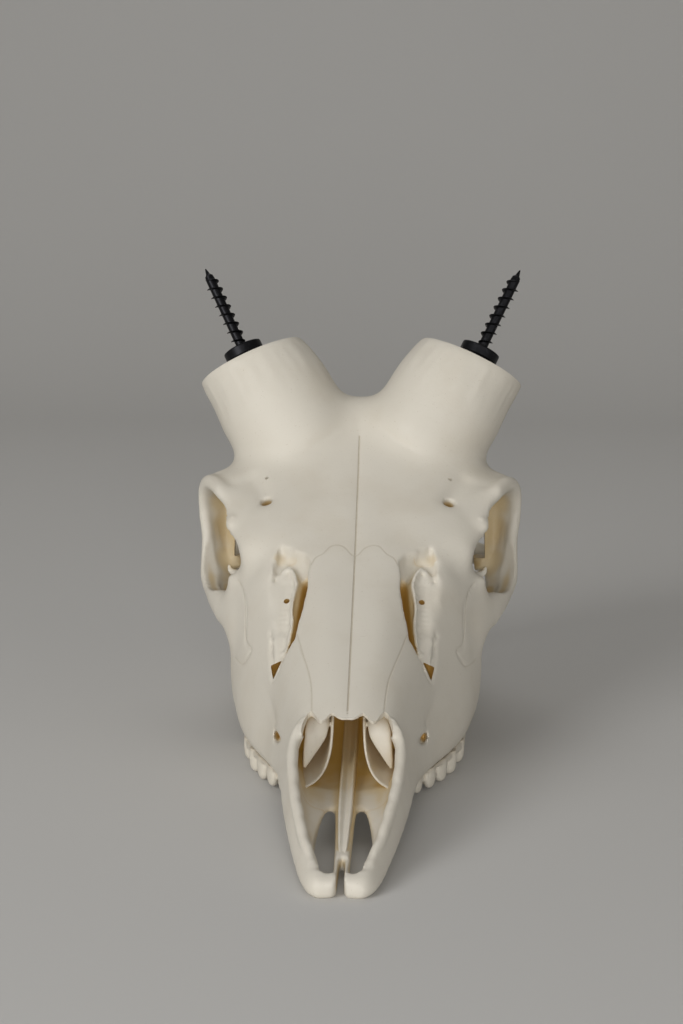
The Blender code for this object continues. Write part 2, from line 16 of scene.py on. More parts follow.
import bmesh
import bpy
import numpy as np
from mathutils import Matrix, Vector
from mathutils.bvhtree import BVHTree

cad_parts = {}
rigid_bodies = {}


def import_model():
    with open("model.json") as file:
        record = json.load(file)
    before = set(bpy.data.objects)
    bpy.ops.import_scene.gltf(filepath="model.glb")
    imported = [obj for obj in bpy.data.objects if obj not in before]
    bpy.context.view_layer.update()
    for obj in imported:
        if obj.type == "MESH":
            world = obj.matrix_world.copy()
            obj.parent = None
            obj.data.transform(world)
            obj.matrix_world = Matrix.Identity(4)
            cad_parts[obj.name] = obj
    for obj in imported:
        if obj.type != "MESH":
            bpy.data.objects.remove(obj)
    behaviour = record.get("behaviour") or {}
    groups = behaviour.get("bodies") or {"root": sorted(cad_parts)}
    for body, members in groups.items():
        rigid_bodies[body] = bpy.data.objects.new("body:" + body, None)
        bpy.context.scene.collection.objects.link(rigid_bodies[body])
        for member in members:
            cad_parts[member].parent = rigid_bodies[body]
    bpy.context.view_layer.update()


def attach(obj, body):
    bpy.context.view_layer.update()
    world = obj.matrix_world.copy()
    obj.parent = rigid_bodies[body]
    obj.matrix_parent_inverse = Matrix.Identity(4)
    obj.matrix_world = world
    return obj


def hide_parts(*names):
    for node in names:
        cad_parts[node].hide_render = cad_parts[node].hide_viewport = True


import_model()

log = logging.getLogger("deer_skull")

Place = tuple[float, float, float]
Ring = list[Vector]

# A millimetre in metres, then in millimetres how far behind the jaw's tips the model's origin lies, the gap
# between two bones, and the sizes of the faces that bodies are fused with
MM = 0.001
MIDDLE_BACK = 137.4
JOINT = 0.012
FORM_VOXEL = 1.2
BODY_VOXEL = 0.75
TOOL_VOXEL = 0.55
FINE_VOXEL = 0.36

# The left pedicle's seat, which a collar and screw stand on, how much is cut off it, and where the gums end
SEAT = Vector((42.2, 223.5, 131.4))
SEAT_AXIS = Vector((0.43, 0.27, 0.86)).normalized()
SEAT_CUT = 0.6
GUM_UP = 8.6

# The turn from one ray to the next that spreads rays evenly
GOLDEN_TURN = 2.39996

# How much of the painted shade the pieces take that stand free inside the nose
PAINTED_SHADE_SHARE = {"turbinate_left": 0.5, "turbinate_right": 0.5, "vomer": 0.75}


class Side(Enum):
    """The two halves of the skull, as the animal has them."""

    LEFT = 1
    RIGHT = -1

    @property
    def word(self) -> str:
        """The word that ends the names of this side's pieces."""
        return self.name.lower()


# Shaping forms


def place(side: float, back: float, up: float) -> Vector:
    """The point of the model, in metres, for a place on the skull."""
    return Vector((side, back - MIDDLE_BACK, up)) * MM


def flow(points: Iterable[Sequence[float]], steps: int) -> Ring:
    """Finds a smooth curve through some points.

    Args:
        points: What the curve passes through.
        steps: How many steps it takes from each point to the next.

    Returns:
        The points of the curve.
    """
    knots = [Vector(p) for p in points]
    last = len(knots) - 1
    curve = []
    for i in range(last):
        a, b, c, d = (knots[min(max(i + k, 0), last)] for k in (-1, 0, 1, 2))
        for s in range(steps):
            t = s / steps
            curve.append(0.5 * (2 * b + (c - a) * t + (2 * a - 5 * b + 4 * c - d) * t * t
                                + (3 * b - a - 3 * c + d) * t ** 3))
    curve.append(knots[-1])
    return curve


def settle(name: str, bm: bmesh.types.BMesh) -> bpy.types.Object:
    """Makes a named object from a bmesh, with its faces turned out.

    Args:
        name: The object's name.
        bm: The bmesh, which is freed.

    Returns:
        The object.
    """
    bmesh.ops.recalc_face_normals(bm, faces=bm.faces[:])
    mesh = bpy.data.meshes.new(name)
    bm.to_mesh(mesh)
    bm.free()
    made = bpy.data.objects.new(name, mesh)
    bpy.context.scene.collection.objects.link(made)
    return made


def drawn_out(name: str, rings: Sequence[Ring]) -> bpy.types.Object:
    """Draws a disc out through rings of points.

    Args:
        name: The object's name.
        rings: Rings of equal length, in metres, from one end to the other.

    Returns:
        A closed body whose two ends are flat.
    """
    bm = bmesh.new()
    bmesh.ops.create_circle(bm, cap_ends=True, segments=len(rings[0]), radius=MM)
    face = bm.faces[:][0]
    for vertex, point in zip(face.verts, rings[0]):
        vertex.co = point
    for step, ring in enumerate(rings[1:]):
        made = bmesh.ops.extrude_face_region(bm, geom=[face], use_keep_orig=step == 0)
        face = next(item for item in made["geom"] if isinstance(item, bmesh.types.BMFace))
        for vertex, point in zip(face.verts, ring):
            vertex.co = point
    return settle(name, bm)


def sweep(name: str, path: Sequence[Place], radii: Sequence[float], flat: float = 1.0,
          wide: Place = (0, 0, 1), steps: int = 6, sides: int = 24) -> bpy.types.Object:
    """Draws a rod along a smooth path.

    Args:
        name: The object's name.
        path: Places that the middle of the rod passes through.
        radii: Its radius at each of them, in millimetres.
        flat: The short radius of its elliptical section, as a share of the long one.
        wide: Where the long radius points.
        steps: Steps between neighbouring places.
        sides: Corners of the section.

    Returns:
        The closed rod.
    """
    spine = flow(path, steps)
    sizes = flow([(r, 0, 0) for r in radii], steps)
    rings = []
    for i, centre in enumerate(spine):
        ahead = (spine[min(i + 1, len(spine) - 1)] - spine[max(i - 1, 0)]).normalized()
        thin = ahead.cross(Vector(wide)).normalized()
        broad = thin.cross(ahead)
        ring = []
        for k in range(sides):
            angle = math.tau * k / sides
            ring.append(place(*(centre + thin * (sizes[i].x * flat * math.cos(angle))
                                + broad * (sizes[i].x * math.sin(angle)))))
        rings.append(ring)
    return drawn_out(name, rings)


def ball(name: str, centre: Place, radii: Place, turn: float = 0.0) -> bpy.types.Object:
    """Makes an ellipsoid.

    Args:
        name: The object's name.
        centre: The place of its middle.
        radii: Its three radii, in millimetres.
        turn: Its turn about the vertical, in degrees.

    Returns:
        The closed ellipsoid.
    """
    bm = bmesh.new()
    bmesh.ops.create_icosphere(bm, subdivisions=4, radius=1.0)
    bmesh.ops.scale(bm, vec=Vector(radii) * MM, verts=bm.verts[:])
    bmesh.ops.rotate(bm, cent=(0, 0, 0), matrix=Matrix.Rotation(math.radians(turn), 3, "Z"),
                     verts=bm.verts[:])
    bmesh.ops.translate(bm, vec=place(*centre), verts=bm.verts[:])
    return settle(name, bm)


def prism(name: str, near: Sequence[Place], push: Place) -> bpy.types.Object:
    """A flat outline drawn straight out by a push."""
    return drawn_out(name, [[place(*p) for p in near], [place(*(Vector(p) + Vector(push))) for p in near]])


def half_space(name: str, centre: Place, direction: Vector, width: float) -> bpy.types.Object:
    """A large block that starts at the centre and fills the side that the direction points to.

    Args:
        name: The object's name.
        centre: The middle of the face that the block starts at.
        direction: Where the block lies from that face.
        width: The face's side, in millimetres.

    Returns:
        The closed block.
    """
    bm = bmesh.new()
    bmesh.ops.create_cube(bm, size=1.0)
    bmesh.ops.translate(bm, vec=(0, 0, 0.5), verts=bm.verts[:])
    bmesh.ops.scale(bm, vec=Vector((width, width, 100.0)) * MM, verts=bm.verts[:])
    bmesh.ops.rotate(bm, cent=(0, 0, 0), matrix=direction.to_track_quat("Z", "Y").to_matrix(),
                     verts=bm.verts[:])
    bmesh.ops.translate(bm, vec=place(*centre), verts=bm.verts[:])
    return settle(name, bm)


def twin(made: bpy.types.Object, name: Optional[str] = None) -> bpy.types.Object:
    """A copy of an object on the other side of the middle plane.

    Args:
        made: The object.
        name: The copy's name, or none for one made from the object's.

    Returns:
        The mirrored copy.
    """
    bm = bmesh.new()
    bm.from_mesh(made.data)
    bmesh.ops.scale(bm, vec=(-1, 1, 1), verts=bm.verts[:])
    return settle(name or made.name + "_twin", bm)


def both(made: bpy.types.Object) -> list[bpy.types.Object]:
    """The object and its mirror image."""
    return [made, twin(made)]


def gather(name: str, objects: Iterable[bpy.types.Object]) -> bpy.types.Object:
    """One object from several, whose surfaces may still cross.

    Args:
        name: The new object's name.
        objects: What it is made from, which is removed.

    Returns:
        The new object.
    """
    bm = bmesh.new()
    for made in objects:
        bm.from_mesh(made.data)
        bpy.data.objects.remove(made)
    mesh = bpy.data.meshes.new(name)
    bm.to_mesh(mesh)
    bm.free()
    gathered = bpy.data.objects.new(name, mesh)
    bpy.context.scene.collection.objects.link(gathered)
    return gathered


def fix(made: bpy.types.Object) -> bpy.types.Object:
    """Applies an object's modifiers to its mesh.

    Args:
        made: The object.

    Returns:
        The same object.
    """
    graph = bpy.context.evaluated_depsgraph_get()
    graph.update()
    old = made.data
    mesh = bpy.data.meshes.new_from_object(made.evaluated_get(graph))
    made.modifiers.clear()
    made.data = mesh
    bpy.data.meshes.remove(old)
    return made


def fuse(made: bpy.types.Object, voxel: float, rounds: int) -> bpy.types.Object:
    """Makes crossing bodies one surface.

    Args:
        made: The object whose bodies cross.
        voxel: The size of the faces it gets, in millimetres.
        rounds: Rounds of smoothing.

    Returns:
        The same object.
    """
    remesh = made.modifiers.new("remesh", "REMESH")
    remesh.mode = "VOXEL"
    remesh.voxel_size = voxel * MM
    if rounds:
        smooth = made.modifiers.new("smooth", "SMOOTH")
        smooth.factor = 0.5
        smooth.iterations = rounds
    return fix(made)


def carve(made: bpy.types.Object, tool: bpy.types.Object, operation: str = "DIFFERENCE") -> bpy.types.Object:
    """Cuts an object with a tool, or keeps what they share, and leaves the tool as it is.

    Args:
        made: The object that is cut.
        tool: The closed body that cuts it.
        operation: What the Boolean modifier does.

    Returns:
        The same object.
    """
    step = made.modifiers.new("step", "BOOLEAN")
    step.operation = operation
    step.solver = "MANIFOLD"
    step.object = tool
    return fix(made)


def copy_of(made: bpy.types.Object, name: str) -> bpy.types.Object:
    """A second object with its own mesh.

    Args:
        made: The object.
        name: The copy's name.

    Returns:
        The copy.
    """
    again = made.copy()
    again.data = made.data.copy()
    again.name = name
    bpy.context.scene.collection.objects.link(again)
    return again


def grown(made: bpy.types.Object, distance: float) -> bpy.types.Object:
    """A copy of an object whose faces are all moved out by a distance in millimetres.

    Args:
        made: The object.
        distance: How far its faces move out.

    Returns:
        The larger copy.
    """
    bm = bmesh.new()
    bm.from_mesh(made.data)
    bm.normal_update()
    moves = [(v, v.normal * (distance * MM * v.calc_shell_factor())) for v in bm.verts]
    for vertex, move in moves:
        vertex.co += move
    return settle(made.name + "_grown", bm)


def largest_shell(made: bpy.types.Object) -> bpy.types.Object:
    """Keeps only the biggest closed surface of an object.

    Args:
        made: The object.

    Returns:
        The same object.
    """
    bm = bmesh.new()
    bm.from_mesh(made.data)
    left = set(bm.verts)
    shells = []
    while left:
        seed = left.pop()
        shell = [seed]
        for vertex in shell:
            for link in vertex.link_edges:
                other = link.other_vert(vertex)
                if other in left:
                    left.remove(other)
                    shell.append(other)
        shells.append(shell)
    shells.sort(key=len)
    for shell in shells[:-1]:
        bmesh.ops.delete(bm, geom=shell, context="VERTS")
    bm.to_mesh(made.data)
    bm.free()
    return made


class Surface:
    """The points of an object's mesh as one array, for moves that a sculptor would make."""

    def __init__(self, made: bpy.types.Object) -> None:
        """Reads the points, in millimetres from the middle of the jaw's tips on the table.

        Args:
            made: The object.
        """
        self.made = made
        mesh = made.data
        self.count = len(mesh.vertices)
        flat = np.empty(self.count * 3)
        mesh.vertices.foreach_get("co", flat)
        self.points = flat.reshape(-1, 3) / MM + (0, MIDDLE_BACK, 0)
        ends = np.empty(len(mesh.edges) * 2, dtype=np.int64)
        mesh.edges.foreach_get("vertices", ends)
        self.near, self.far = ends.reshape(-1, 2).T
        self.normals = self.read_normals()

    def read_normals(self) -> np.ndarray:
        """The direction that each point faces.

        Returns:
            One unit vector for each point.
        """
        flat = np.empty(self.count * 3)
        self.made.data.vertex_normals.foreach_get("vector", flat)
        return flat.reshape(-1, 3)

    def write(self) -> None:
        """Puts the moved points back into the mesh."""
        mesh = self.made.data
        mesh.vertices.foreach_set("co", ((self.points - (0, MIDDLE_BACK, 0)) * MM).ravel())
        mesh.update()
        self.normals = self.read_normals()

    def ease(self, spots: Iterable[tuple[Place, float]], rounds: int) -> None:
        """Smooths near some places and their mirror images, so that forms flow together.

        Args:
            spots: Places with the radius to smooth round each.
            rounds: Rounds of smoothing.
        """
        weight = np.zeros(self.count)
        for centre, radius in spots:
            reach = self.distance_to(centre) / radius
            weight = np.maximum(weight, np.clip(1.5 * (1 - reach), 0, 1))
        some = np.maximum(np.bincount(np.append(self.near, self.far), minlength=self.count), 1)[:, None]
        share = 0.5 * weight[:, None]
        for _ in range(rounds):
            points = self.points
            total = np.stack([np.bincount(self.near, points[self.far, axis], self.count)
                              + np.bincount(self.far, points[self.near, axis], self.count)
                              for axis in range(3)], axis=1)
            points += share * (total / some - points)

    def distance_to(self, centre: Place) -> np.ndarray:
        """How far each point is from a place or from its mirror image, whichever is nearer."""
        away = np.abs(self.points * (1, 0, 0)) + self.points * (0, 1, 1) - centre
        return np.linalg.norm(away, axis=1)

    def press(self, centre: Place, radius: float, depth: float) -> None:
        """Presses a soft hollow, or raises a swelling where the depth is negative."""
        fall = np.exp(-(self.distance_to(centre) / radius) ** 2)
        self.points -= self.normals * (depth * fall)[:, None]

    def groove(self, path: Sequence[Place], width: float, depth: float) -> None:
        """Presses a soft groove along a path on both sides.

        Args:
            path: Places on the surface.
            width: How far from its bottom the groove fades out.
            depth: How deep it is. A negative depth raises a ridge.
        """
        nearest = np.full(self.count, np.inf)
        for stop in flow(path, 6):
            nearest = np.minimum(nearest, self.distance_to(tuple(stop)))
        self.points -= self.normals * (depth * np.exp(-(nearest / width) ** 2))[:, None]


# The skull's cross-sections


class Section(NamedTuple):
    """Half of a cross-section at one place along the skull, from the top down to the bottom.

    Attributes:
        back: How far back it lies.
        roof: The height of its top.
        roof_half: How far from the middle the top stays nearly level.
        brow_half: Half the width at the brow.
        brow: The height of the brow.
        side_half: Half the width where it is widest.
        side: The height there.
        foot_half: Half the width at the foot.
        foot: The height of the foot.
        sole: The height of the middle of the bottom.
    """

    back: float
    roof: float
    roof_half: float
    brow_half: float
    brow: float
    side_half: float
    side: float
    foot_half: float
    foot: float
    sole: float

    def outline(self) -> list[Place]:
        """Places from the middle of the top, round the side, to the middle of the bottom."""
        return [(0, self.back, self.roof), (self.roof_half, self.back, self.roof - 0.6),
                (self.brow_half, self.back, self.brow), (self.side_half, self.back, self.side),
                (self.foot_half, self.back, self.foot), (0, self.back, self.sole)]


def loft(name: str, sections: Sequence[Section], along: int = 5, around: int = 5) -> bpy.types.Object:
    """Draws a body through cross-sections that are alike on both sides of the middle plane.

    Args:
        name: The object's name.
        sections: The cross-sections, from front to back.
        along: Steps between neighbouring sections.
        around: Steps between neighbouring places of a section.

    Returns:
        The closed body.
    """
    halves = [flow(section.outline(), around) for section in sections]
    lanes = [flow([half[k] for half in halves], along) for k in range(len(halves[0]))]
    rings = []
    for stops in zip(*lanes):
        left = [place(max(p.x, 0.0), p.y, p.z) for p in stops]
        right = [Vector((-p.x, p.y, p.z)) for p in left[-2:0:-1]]
        rings.append(left + right)
    return drawn_out(name, rings)


@dataclass(frozen=True)
class SkullSections:
    """The section tables of the skull's long forms and of the hollows cut into them.

    Attributes:
        face: The upper jaw and the forehead, back to the eye sockets.
        brain: The case of the brain.
        shelf: The roof of the eye sockets, which runs up to the pedicles.
        jaw_front: The front of the jaw.
        nose_scoop: The open front of the nose.
        nose_depth: The nose further in.
        palate: The vault of the palate.
    """

    face: tuple[Section, ...] = (
        Section(60, 33, 6, 14, 29.5, 19.4, 17, 18.5, 6.6, 6.4),
        Section(72, 38.6, 7, 15, 33.5, 20.5, 18, 20, 8.2, 8),
        Section(88, 45.3, 9, 18, 37.5, 23, 20, 22, 8.4, 10),
        Section(105, 52.6, 11, 22, 41.5, 26.8, 22, 26.8, 8, 13),
        Section(120, 59.6, 12, 24, 48.5, 32, 26, 32, 8, 14),
        Section(135, 66.4, 14, 28.5, 56, 37.4, 31, 36, 8, 15),
        Section(150, 74, 16, 33.5, 65.5, 41.9, 38, 38.2, 8, 16),
        Section(163, 81.5, 18, 36, 75.5, 44.6, 47, 38.8, 8.4, 19),
        Section(172, 86, 17, 33, 80, 39, 55, 32, 16, 26),
        Section(180, 90, 16, 29, 82, 30, 60, 22, 36, 32),
    )
    brain: tuple[Section, ...] = (
        Section(160, 79, 12, 25, 70, 28, 56, 18, 31, 28),
        Section(178, 90, 12, 22.5, 78, 22, 58, 16, 36, 32),
        Section(195, 101, 14, 27, 86, 25, 64, 17, 39, 34),
        Section(212, 113, 16, 33, 99, 34.5, 76, 22, 42, 36),
        Section(226, 115, 15, 32, 102, 38.5, 74, 27, 44, 38),
        Section(240, 108, 14, 31, 95, 39.5, 70, 29, 45, 40),
        Section(254, 97, 12, 27, 86, 38.5, 64, 29, 46, 42),
        Section(263, 87, 10, 21, 80, 31, 62, 23, 49, 46),
        Section(267, 80, 7, 15, 74, 22, 61, 16, 53, 51),
    )
    shelf: tuple[Section, ...] = (
        Section(156, 77.5, 20, 34, 75.3, 43, 69, 36, 64, 60),
        Section(168, 84.6, 20, 36, 81.6, 45.5, 75.5, 38, 71, 68),
        Section(180, 91.5, 20, 37, 87.8, 48.5, 83.5, 40, 79, 76),
        Section(192, 99.5, 20, 40, 94.6, 54, 88, 42, 83.5, 82),
        Section(203, 108, 20, 39, 99, 57.4, 88.3, 44, 85, 88),
        Section(214, 116.5, 20, 37, 104, 46, 89.5, 38, 86.5, 92),
        Section(222, 117.5, 16, 31, 107, 38, 92, 30, 88.5, 94),
    )
    jaw_front: tuple[Section, ...] = (
        Section(0.5, 5.5, 3, 5.5, 5.6, 7.6, 3, 6.2, 0.0, -0.3),
        Section(4, 6.8, 4, 7.6, 6.9, 10.4, 3, 8.6, -0.3, -0.6),
        Section(12, 8.4, 4.5, 9, 8.6, 12.8, 4, 10.6, 0.2, 0),
        Section(20, 10.7, 5, 10.5, 11, 14.3, 5, 12.2, 1.4, 1.2),
        Section(30, 14.6, 6, 12, 15, 16, 7, 13.8, 2.4, 2.2),
        Section(45, 22, 6, 13.6, 21.4, 18.2, 10.5, 16, 4, 4.2),
        Section(60, 31, 6, 14, 29.5, 19.8, 14, 18.2, 6.2, 6.4),
        Section(72, 37, 6, 14.5, 33.5, 20.6, 17, 19.6, 8.8, 8.6),
    )
    nose_scoop: tuple[Section, ...] = (
        Section(4.6, 60, 1.2, 2, 30, 2.4, 14, 1.8, 8.2, 7.6),
        Section(7, 60, 2.5, 4.8, 30, 5.4, 14, 4.4, 7, 6.3),
        Section(10, 60, 3.4, 6.4, 30, 6.9, 14, 5.6, 6.7, 5.9),
        Section(16, 60, 5, 8, 30, 8.6, 14, 7, 6.9, 5.7),
        Section(30, 60, 7, 11.4, 34, 11.8, 17, 9.4, 8.2, 6.8),
        Section(45, 60, 8, 13.8, 38, 14.4, 22, 11.2, 10.8, 9.2),
        Section(60, 58, 6, 14.6, 40, 15.6, 26, 12.4, 13.4, 11.8),
        Section(64.5, 50, 5, 14.4, 37, 15.8, 26, 12.6, 14, 12.6),
    )
    nose_depth: tuple[Section, ...] = (
        Section(58, 31.8, 5, 12, 28.4, 15, 21, 11, 13.6, 12.4),
        Section(66, 35, 6, 12.8, 30.8, 15.8, 21, 11.8, 13.8, 12.5),
        Section(72, 37.3, 6, 13.6, 32, 16.4, 21, 12.4, 14, 12.6),
        Section(88, 43.4, 8, 15.5, 34.6, 17.8, 23, 13.6, 15.6, 14),
        Section(105, 48, 8, 16.4, 38.5, 18.2, 26, 13.6, 18, 16.6),
        Section(125, 50, 6, 13, 39.5, 14, 29, 9.6, 21, 19.6),
    )
    palate: tuple[Section, ...] = (
        Section(80, 9, 6, 10, 8, 11.2, 4, 11, -4, -6),
        Section(100, 12.5, 8, 13.5, 10, 15.4, 4, 15, -4, -6),
        Section(125, 15, 11, 18.5, 11.5, 21.6, 4, 21, -4, -6),
        Section(150, 16, 12, 20, 12.5, 23, 4, 23, -4, -6),
        Section(172, 20, 12, 20, 15, 23, 6, 23, -4, -6),
    )


# Lines on the skull: the nasal bone's outline from above, and the sutures
NASAL_END = ((0, 146.4), (1.2, 147.1), (3.6, 150.3), (6, 151.5), (8.5, 150.9), (11, 147.3), (13.6, 145.5),
             (15, 142.5))
NASAL_SIDE = ((18.8, 113.5), (16.4, 103.4), (14.5, 96.3), (12.6, 87.6), (11.9, 80.2), (11.6, 70.7))
CHEEK_EDGE = ((42, 60), (39.6, 57.4), (38.5, 52), (37.9, 43), (35.4, 40.3), (38.6, 34.2), (42.5, 33.4))


@dataclass(frozen=True)
class Suture:
    """A line where two bones of the living skull met.

    Attributes:
        stops: Places on the line, or close over it.
        channel: Which of the mesh's three suture channels holds it.
    """

    stops: tuple[Place, ...]
    channel: int

    def trace(self, hull: BVHTree) -> tuple[np.ndarray, np.ndarray]:
        """Lays the line on the skull.

        Args:
            hull: The skull's outer surface.

        Returns:
            Points along the line, in millimetres, and its direction at each.
        """
        laid = []
        for stop in flow(self.stops, 12):
            spot = hull.find_nearest(place(*stop))[0]
            laid.append(np.array(spot) / MM + (0, MIDDLE_BACK, 0))
        line = np.array(laid)
        for _ in range(3):
            line[1:-1] = (line[:-2] + 2 * line[1:-1] + line[2:]) / 4
        ahead = np.gradient(line, axis=0)
        return line, ahead / np.linalg.norm(ahead, axis=1)[:, None]

    def mirrored(self) -> "Suture":
        """The same suture on the right."""
        return Suture(tuple((-side, back, up) for side, back, up in self.stops), self.channel)


@dataclass
class SutureMap:
    """All the sutures, traced on the skull.

    Attributes:
        hull: The skull's outer surface.
        reach: How far from a suture the mesh still records it, in millimetres.
    """

    hull: BVHTree
    reach: float = 1.8

    def sutures(self) -> list[Suture]:
        """Every suture that shows on the cast.

        Returns:
            The sutures of both sides.
        """
        brow = Suture(((0, 200, 106), (0, 190, 98.7), (0, 174, 88), (0, 160, 80), (0, 146.4, 72.2)), 0)
        nose = Suture(((0, 146.4, 73), (0, 120, 60), (0, 95, 48.5), (0, 68, 37.5)), 0)
        top = Suture(tuple((s, b, 73 - 0.5 * (150 - b)) for s, b in NASAL_END), 1)
        side = Suture(tuple((s, b, 36 + 0.36 * (b - 70)) for s, b in NASAL_SIDE), 1)
        front = Suture(((11.6, 70.4, 36), (14.8, 69, 33.4), (17.4, 66.4, 29), (19, 61, 22)), 2)
        cheek = Suture(((42, 160, 60), (39.6, 154, 57.4), (38.5, 149, 52), (37.9, 142.5, 43),
                        (35.4, 135.5, 40.3), (38.6, 139.5, 34.4), (42.5, 151, 34)), 2)
        sided = [top, side, front, cheek]
        return [brow, nose] + sided + [suture.mirrored() for suture in sided]

    def record(self, made: bpy.types.Object) -> None:
        """Writes the step from each point to the nearest suture of each channel into the mesh.

        Args:
            made: The piece.
        """
        surface = Surface(made)
        steps = [surface.normals * self.reach for _ in range(3)]
        for suture in self.sutures():
            line, ahead = suture.trace(self.hull)
            low = line.min(axis=0) - self.reach
            high = line.max(axis=0) + self.reach
            close = np.flatnonzero(np.all((surface.points > low) & (surface.points < high), axis=1))
            for some in np.array_split(close, len(close) // 4000 + 1):
                if len(some):
                    self.join(surface, some, line, ahead, steps[suture.channel])
        for channel, offsets in enumerate(steps):
            store = made.data.attributes.new(f"suture_{channel}", "FLOAT_VECTOR", "POINT")
            store.data.foreach_set("vector", offsets.astype(np.float32).ravel())

    def join(self, surface: Surface, some: np.ndarray, line: np.ndarray, ahead: np.ndarray,
             steps: np.ndarray) -> None:
        """Finds the step from some points to one suture, and keeps it where it is the shortest yet.

        Args:
            surface: The mesh's points.
            some: Which of them to look at.
            line: Points along the suture.
            ahead: Its direction at each.
            steps: The shortest steps so far, which are changed.
        """
        away = line[None] - surface.points[some][:, None]
        pick = np.argmin(np.einsum("ijk,ijk->ij", away, away), axis=1)
        step = away[np.arange(len(some)), pick]
        facing = surface.normals[some]
        along = ahead[pick]
        inside = (pick > 0) & (pick < len(line) - 1)
        step = step - facing * np.einsum("ij,ij->i", step, facing)[:, None]
        step = step - along * (np.einsum("ij,ij->i", step, along) * inside)[:, None]
        length = np.linalg.norm(step, axis=1)
        near = np.linalg.norm(away[np.arange(len(some)), pick], axis=1) < self.reach + 1.0
        better = near & (length < np.linalg.norm(steps[some], axis=1))
        steps[some[better]] = step[better]


@dataclass
class Shelter:
    """How far each point of the skull is shut in by bone, which sets how much shade is painted into its
    colour.

    Attributes:
        bone: All the bone that shuts the points in.
        hull: The skull's outer surface. Points on it count as open.
        rays: How many directions are tried from each point.
        reach: How far away bone still shuts a point in, in millimetres.
        shallow: How far under the hull the painted shade is at its full strength, in millimetres.
        clear: The share of that depth that stays free of painted shade.
        lift: How far off the surface a ray starts, in millimetres.
        painted_shade_spots: Places, radii and shares of painted shade on what looks forward in the sockets
            and face.
    """

    bone: BVHTree
    hull: BVHTree
    rays: int = 12
    reach: float = 45.0
    shallow: float = 2.2
    clear: float = 0.25
    lift: float = 0.3
    painted_shade_spots: tuple[tuple[Place, float, float], ...] = (
        ((49.5, 207, 82), 9.5, 0.66), ((49, 210, 70), 10.5, 0.66), ((49, 206, 57), 9.5, 0.66),
        ((49, 196, 50), 7, 0.6), ((26.4, 151.6, 69.6), 3.4, 0.5), ((22.8, 150.6, 68.6), 3.2, 0.42))

    def directions(self) -> list[Vector]:
        """Directions over a half sphere that faces up, closer together near its pole.

        Returns:
            One unit vector for each ray.
        """
        spread = []
        for k in range(self.rays):
            up = math.sqrt(1 - (k + 0.5) / self.rays)
            turn = k * GOLDEN_TURN
            flat = math.sqrt(1 - up * up)
            spread.append(Vector((flat * math.cos(turn), flat * math.sin(turn), up)))
        return spread

    def record(self, made: bpy.types.Object, share: float = 1.0, soften: int = 6) -> None:
        """Writes the shut-in share of each point, from 0 to 1, into the mesh.

        Args:
            made: The piece.
            share: What every share is multiplied by.
            soften: Rounds of evening the shares out between neighbours.
        """
        mesh = made.data
        spread = self.directions()
        shares = np.zeros(len(mesh.vertices))
        for i, vertex in enumerate(mesh.vertices):
            depth = self.hull.find_nearest(vertex.co, self.shallow * MM)[3]
            inside = 1.0 if depth is None else depth / (self.shallow * MM)
            if inside < self.clear:
                continue
            turn = vertex.normal.to_track_quat("Z", "Y")
            start = vertex.co + vertex.normal * (self.lift * MM)
            # Every ray that hits bone adds painted shade to the point.
            hits = sum(self.bone.ray_cast(start, turn @ way, self.reach * MM)[0] is not None
                       for way in spread)
            shares[i] = share * (inside - self.clear) / (1 - self.clear) * hits / self.rays
        surface = Surface(made)
        # Painted shade on the forward-looking faces of the eye sockets' bars and beside the leaf in the
        # face's opening.
        for spot, radius, strength in self.painted_shade_spots:
            fall = np.exp(-(surface.distance_to(spot) / radius) ** 4)
            forward = np.clip(-surface.normals[:, 1] * 2, 0, 1)
            shares = np.maximum(shares, strength * fall * forward)
        some = np.maximum(np.bincount(np.append(surface.near, surface.far), minlength=surface.count), 1)
        for _ in range(soften):
            total = (np.bincount(surface.near, shares[surface.far], surface.count)
                     + np.bincount(surface.far, shares[surface.near], surface.count))
            shares += 0.5 * (total / some - shares)
        store = mesh.attributes.new("shelter", "FLOAT", "POINT")
        store.data.foreach_set("value", shares.astype(np.float32))


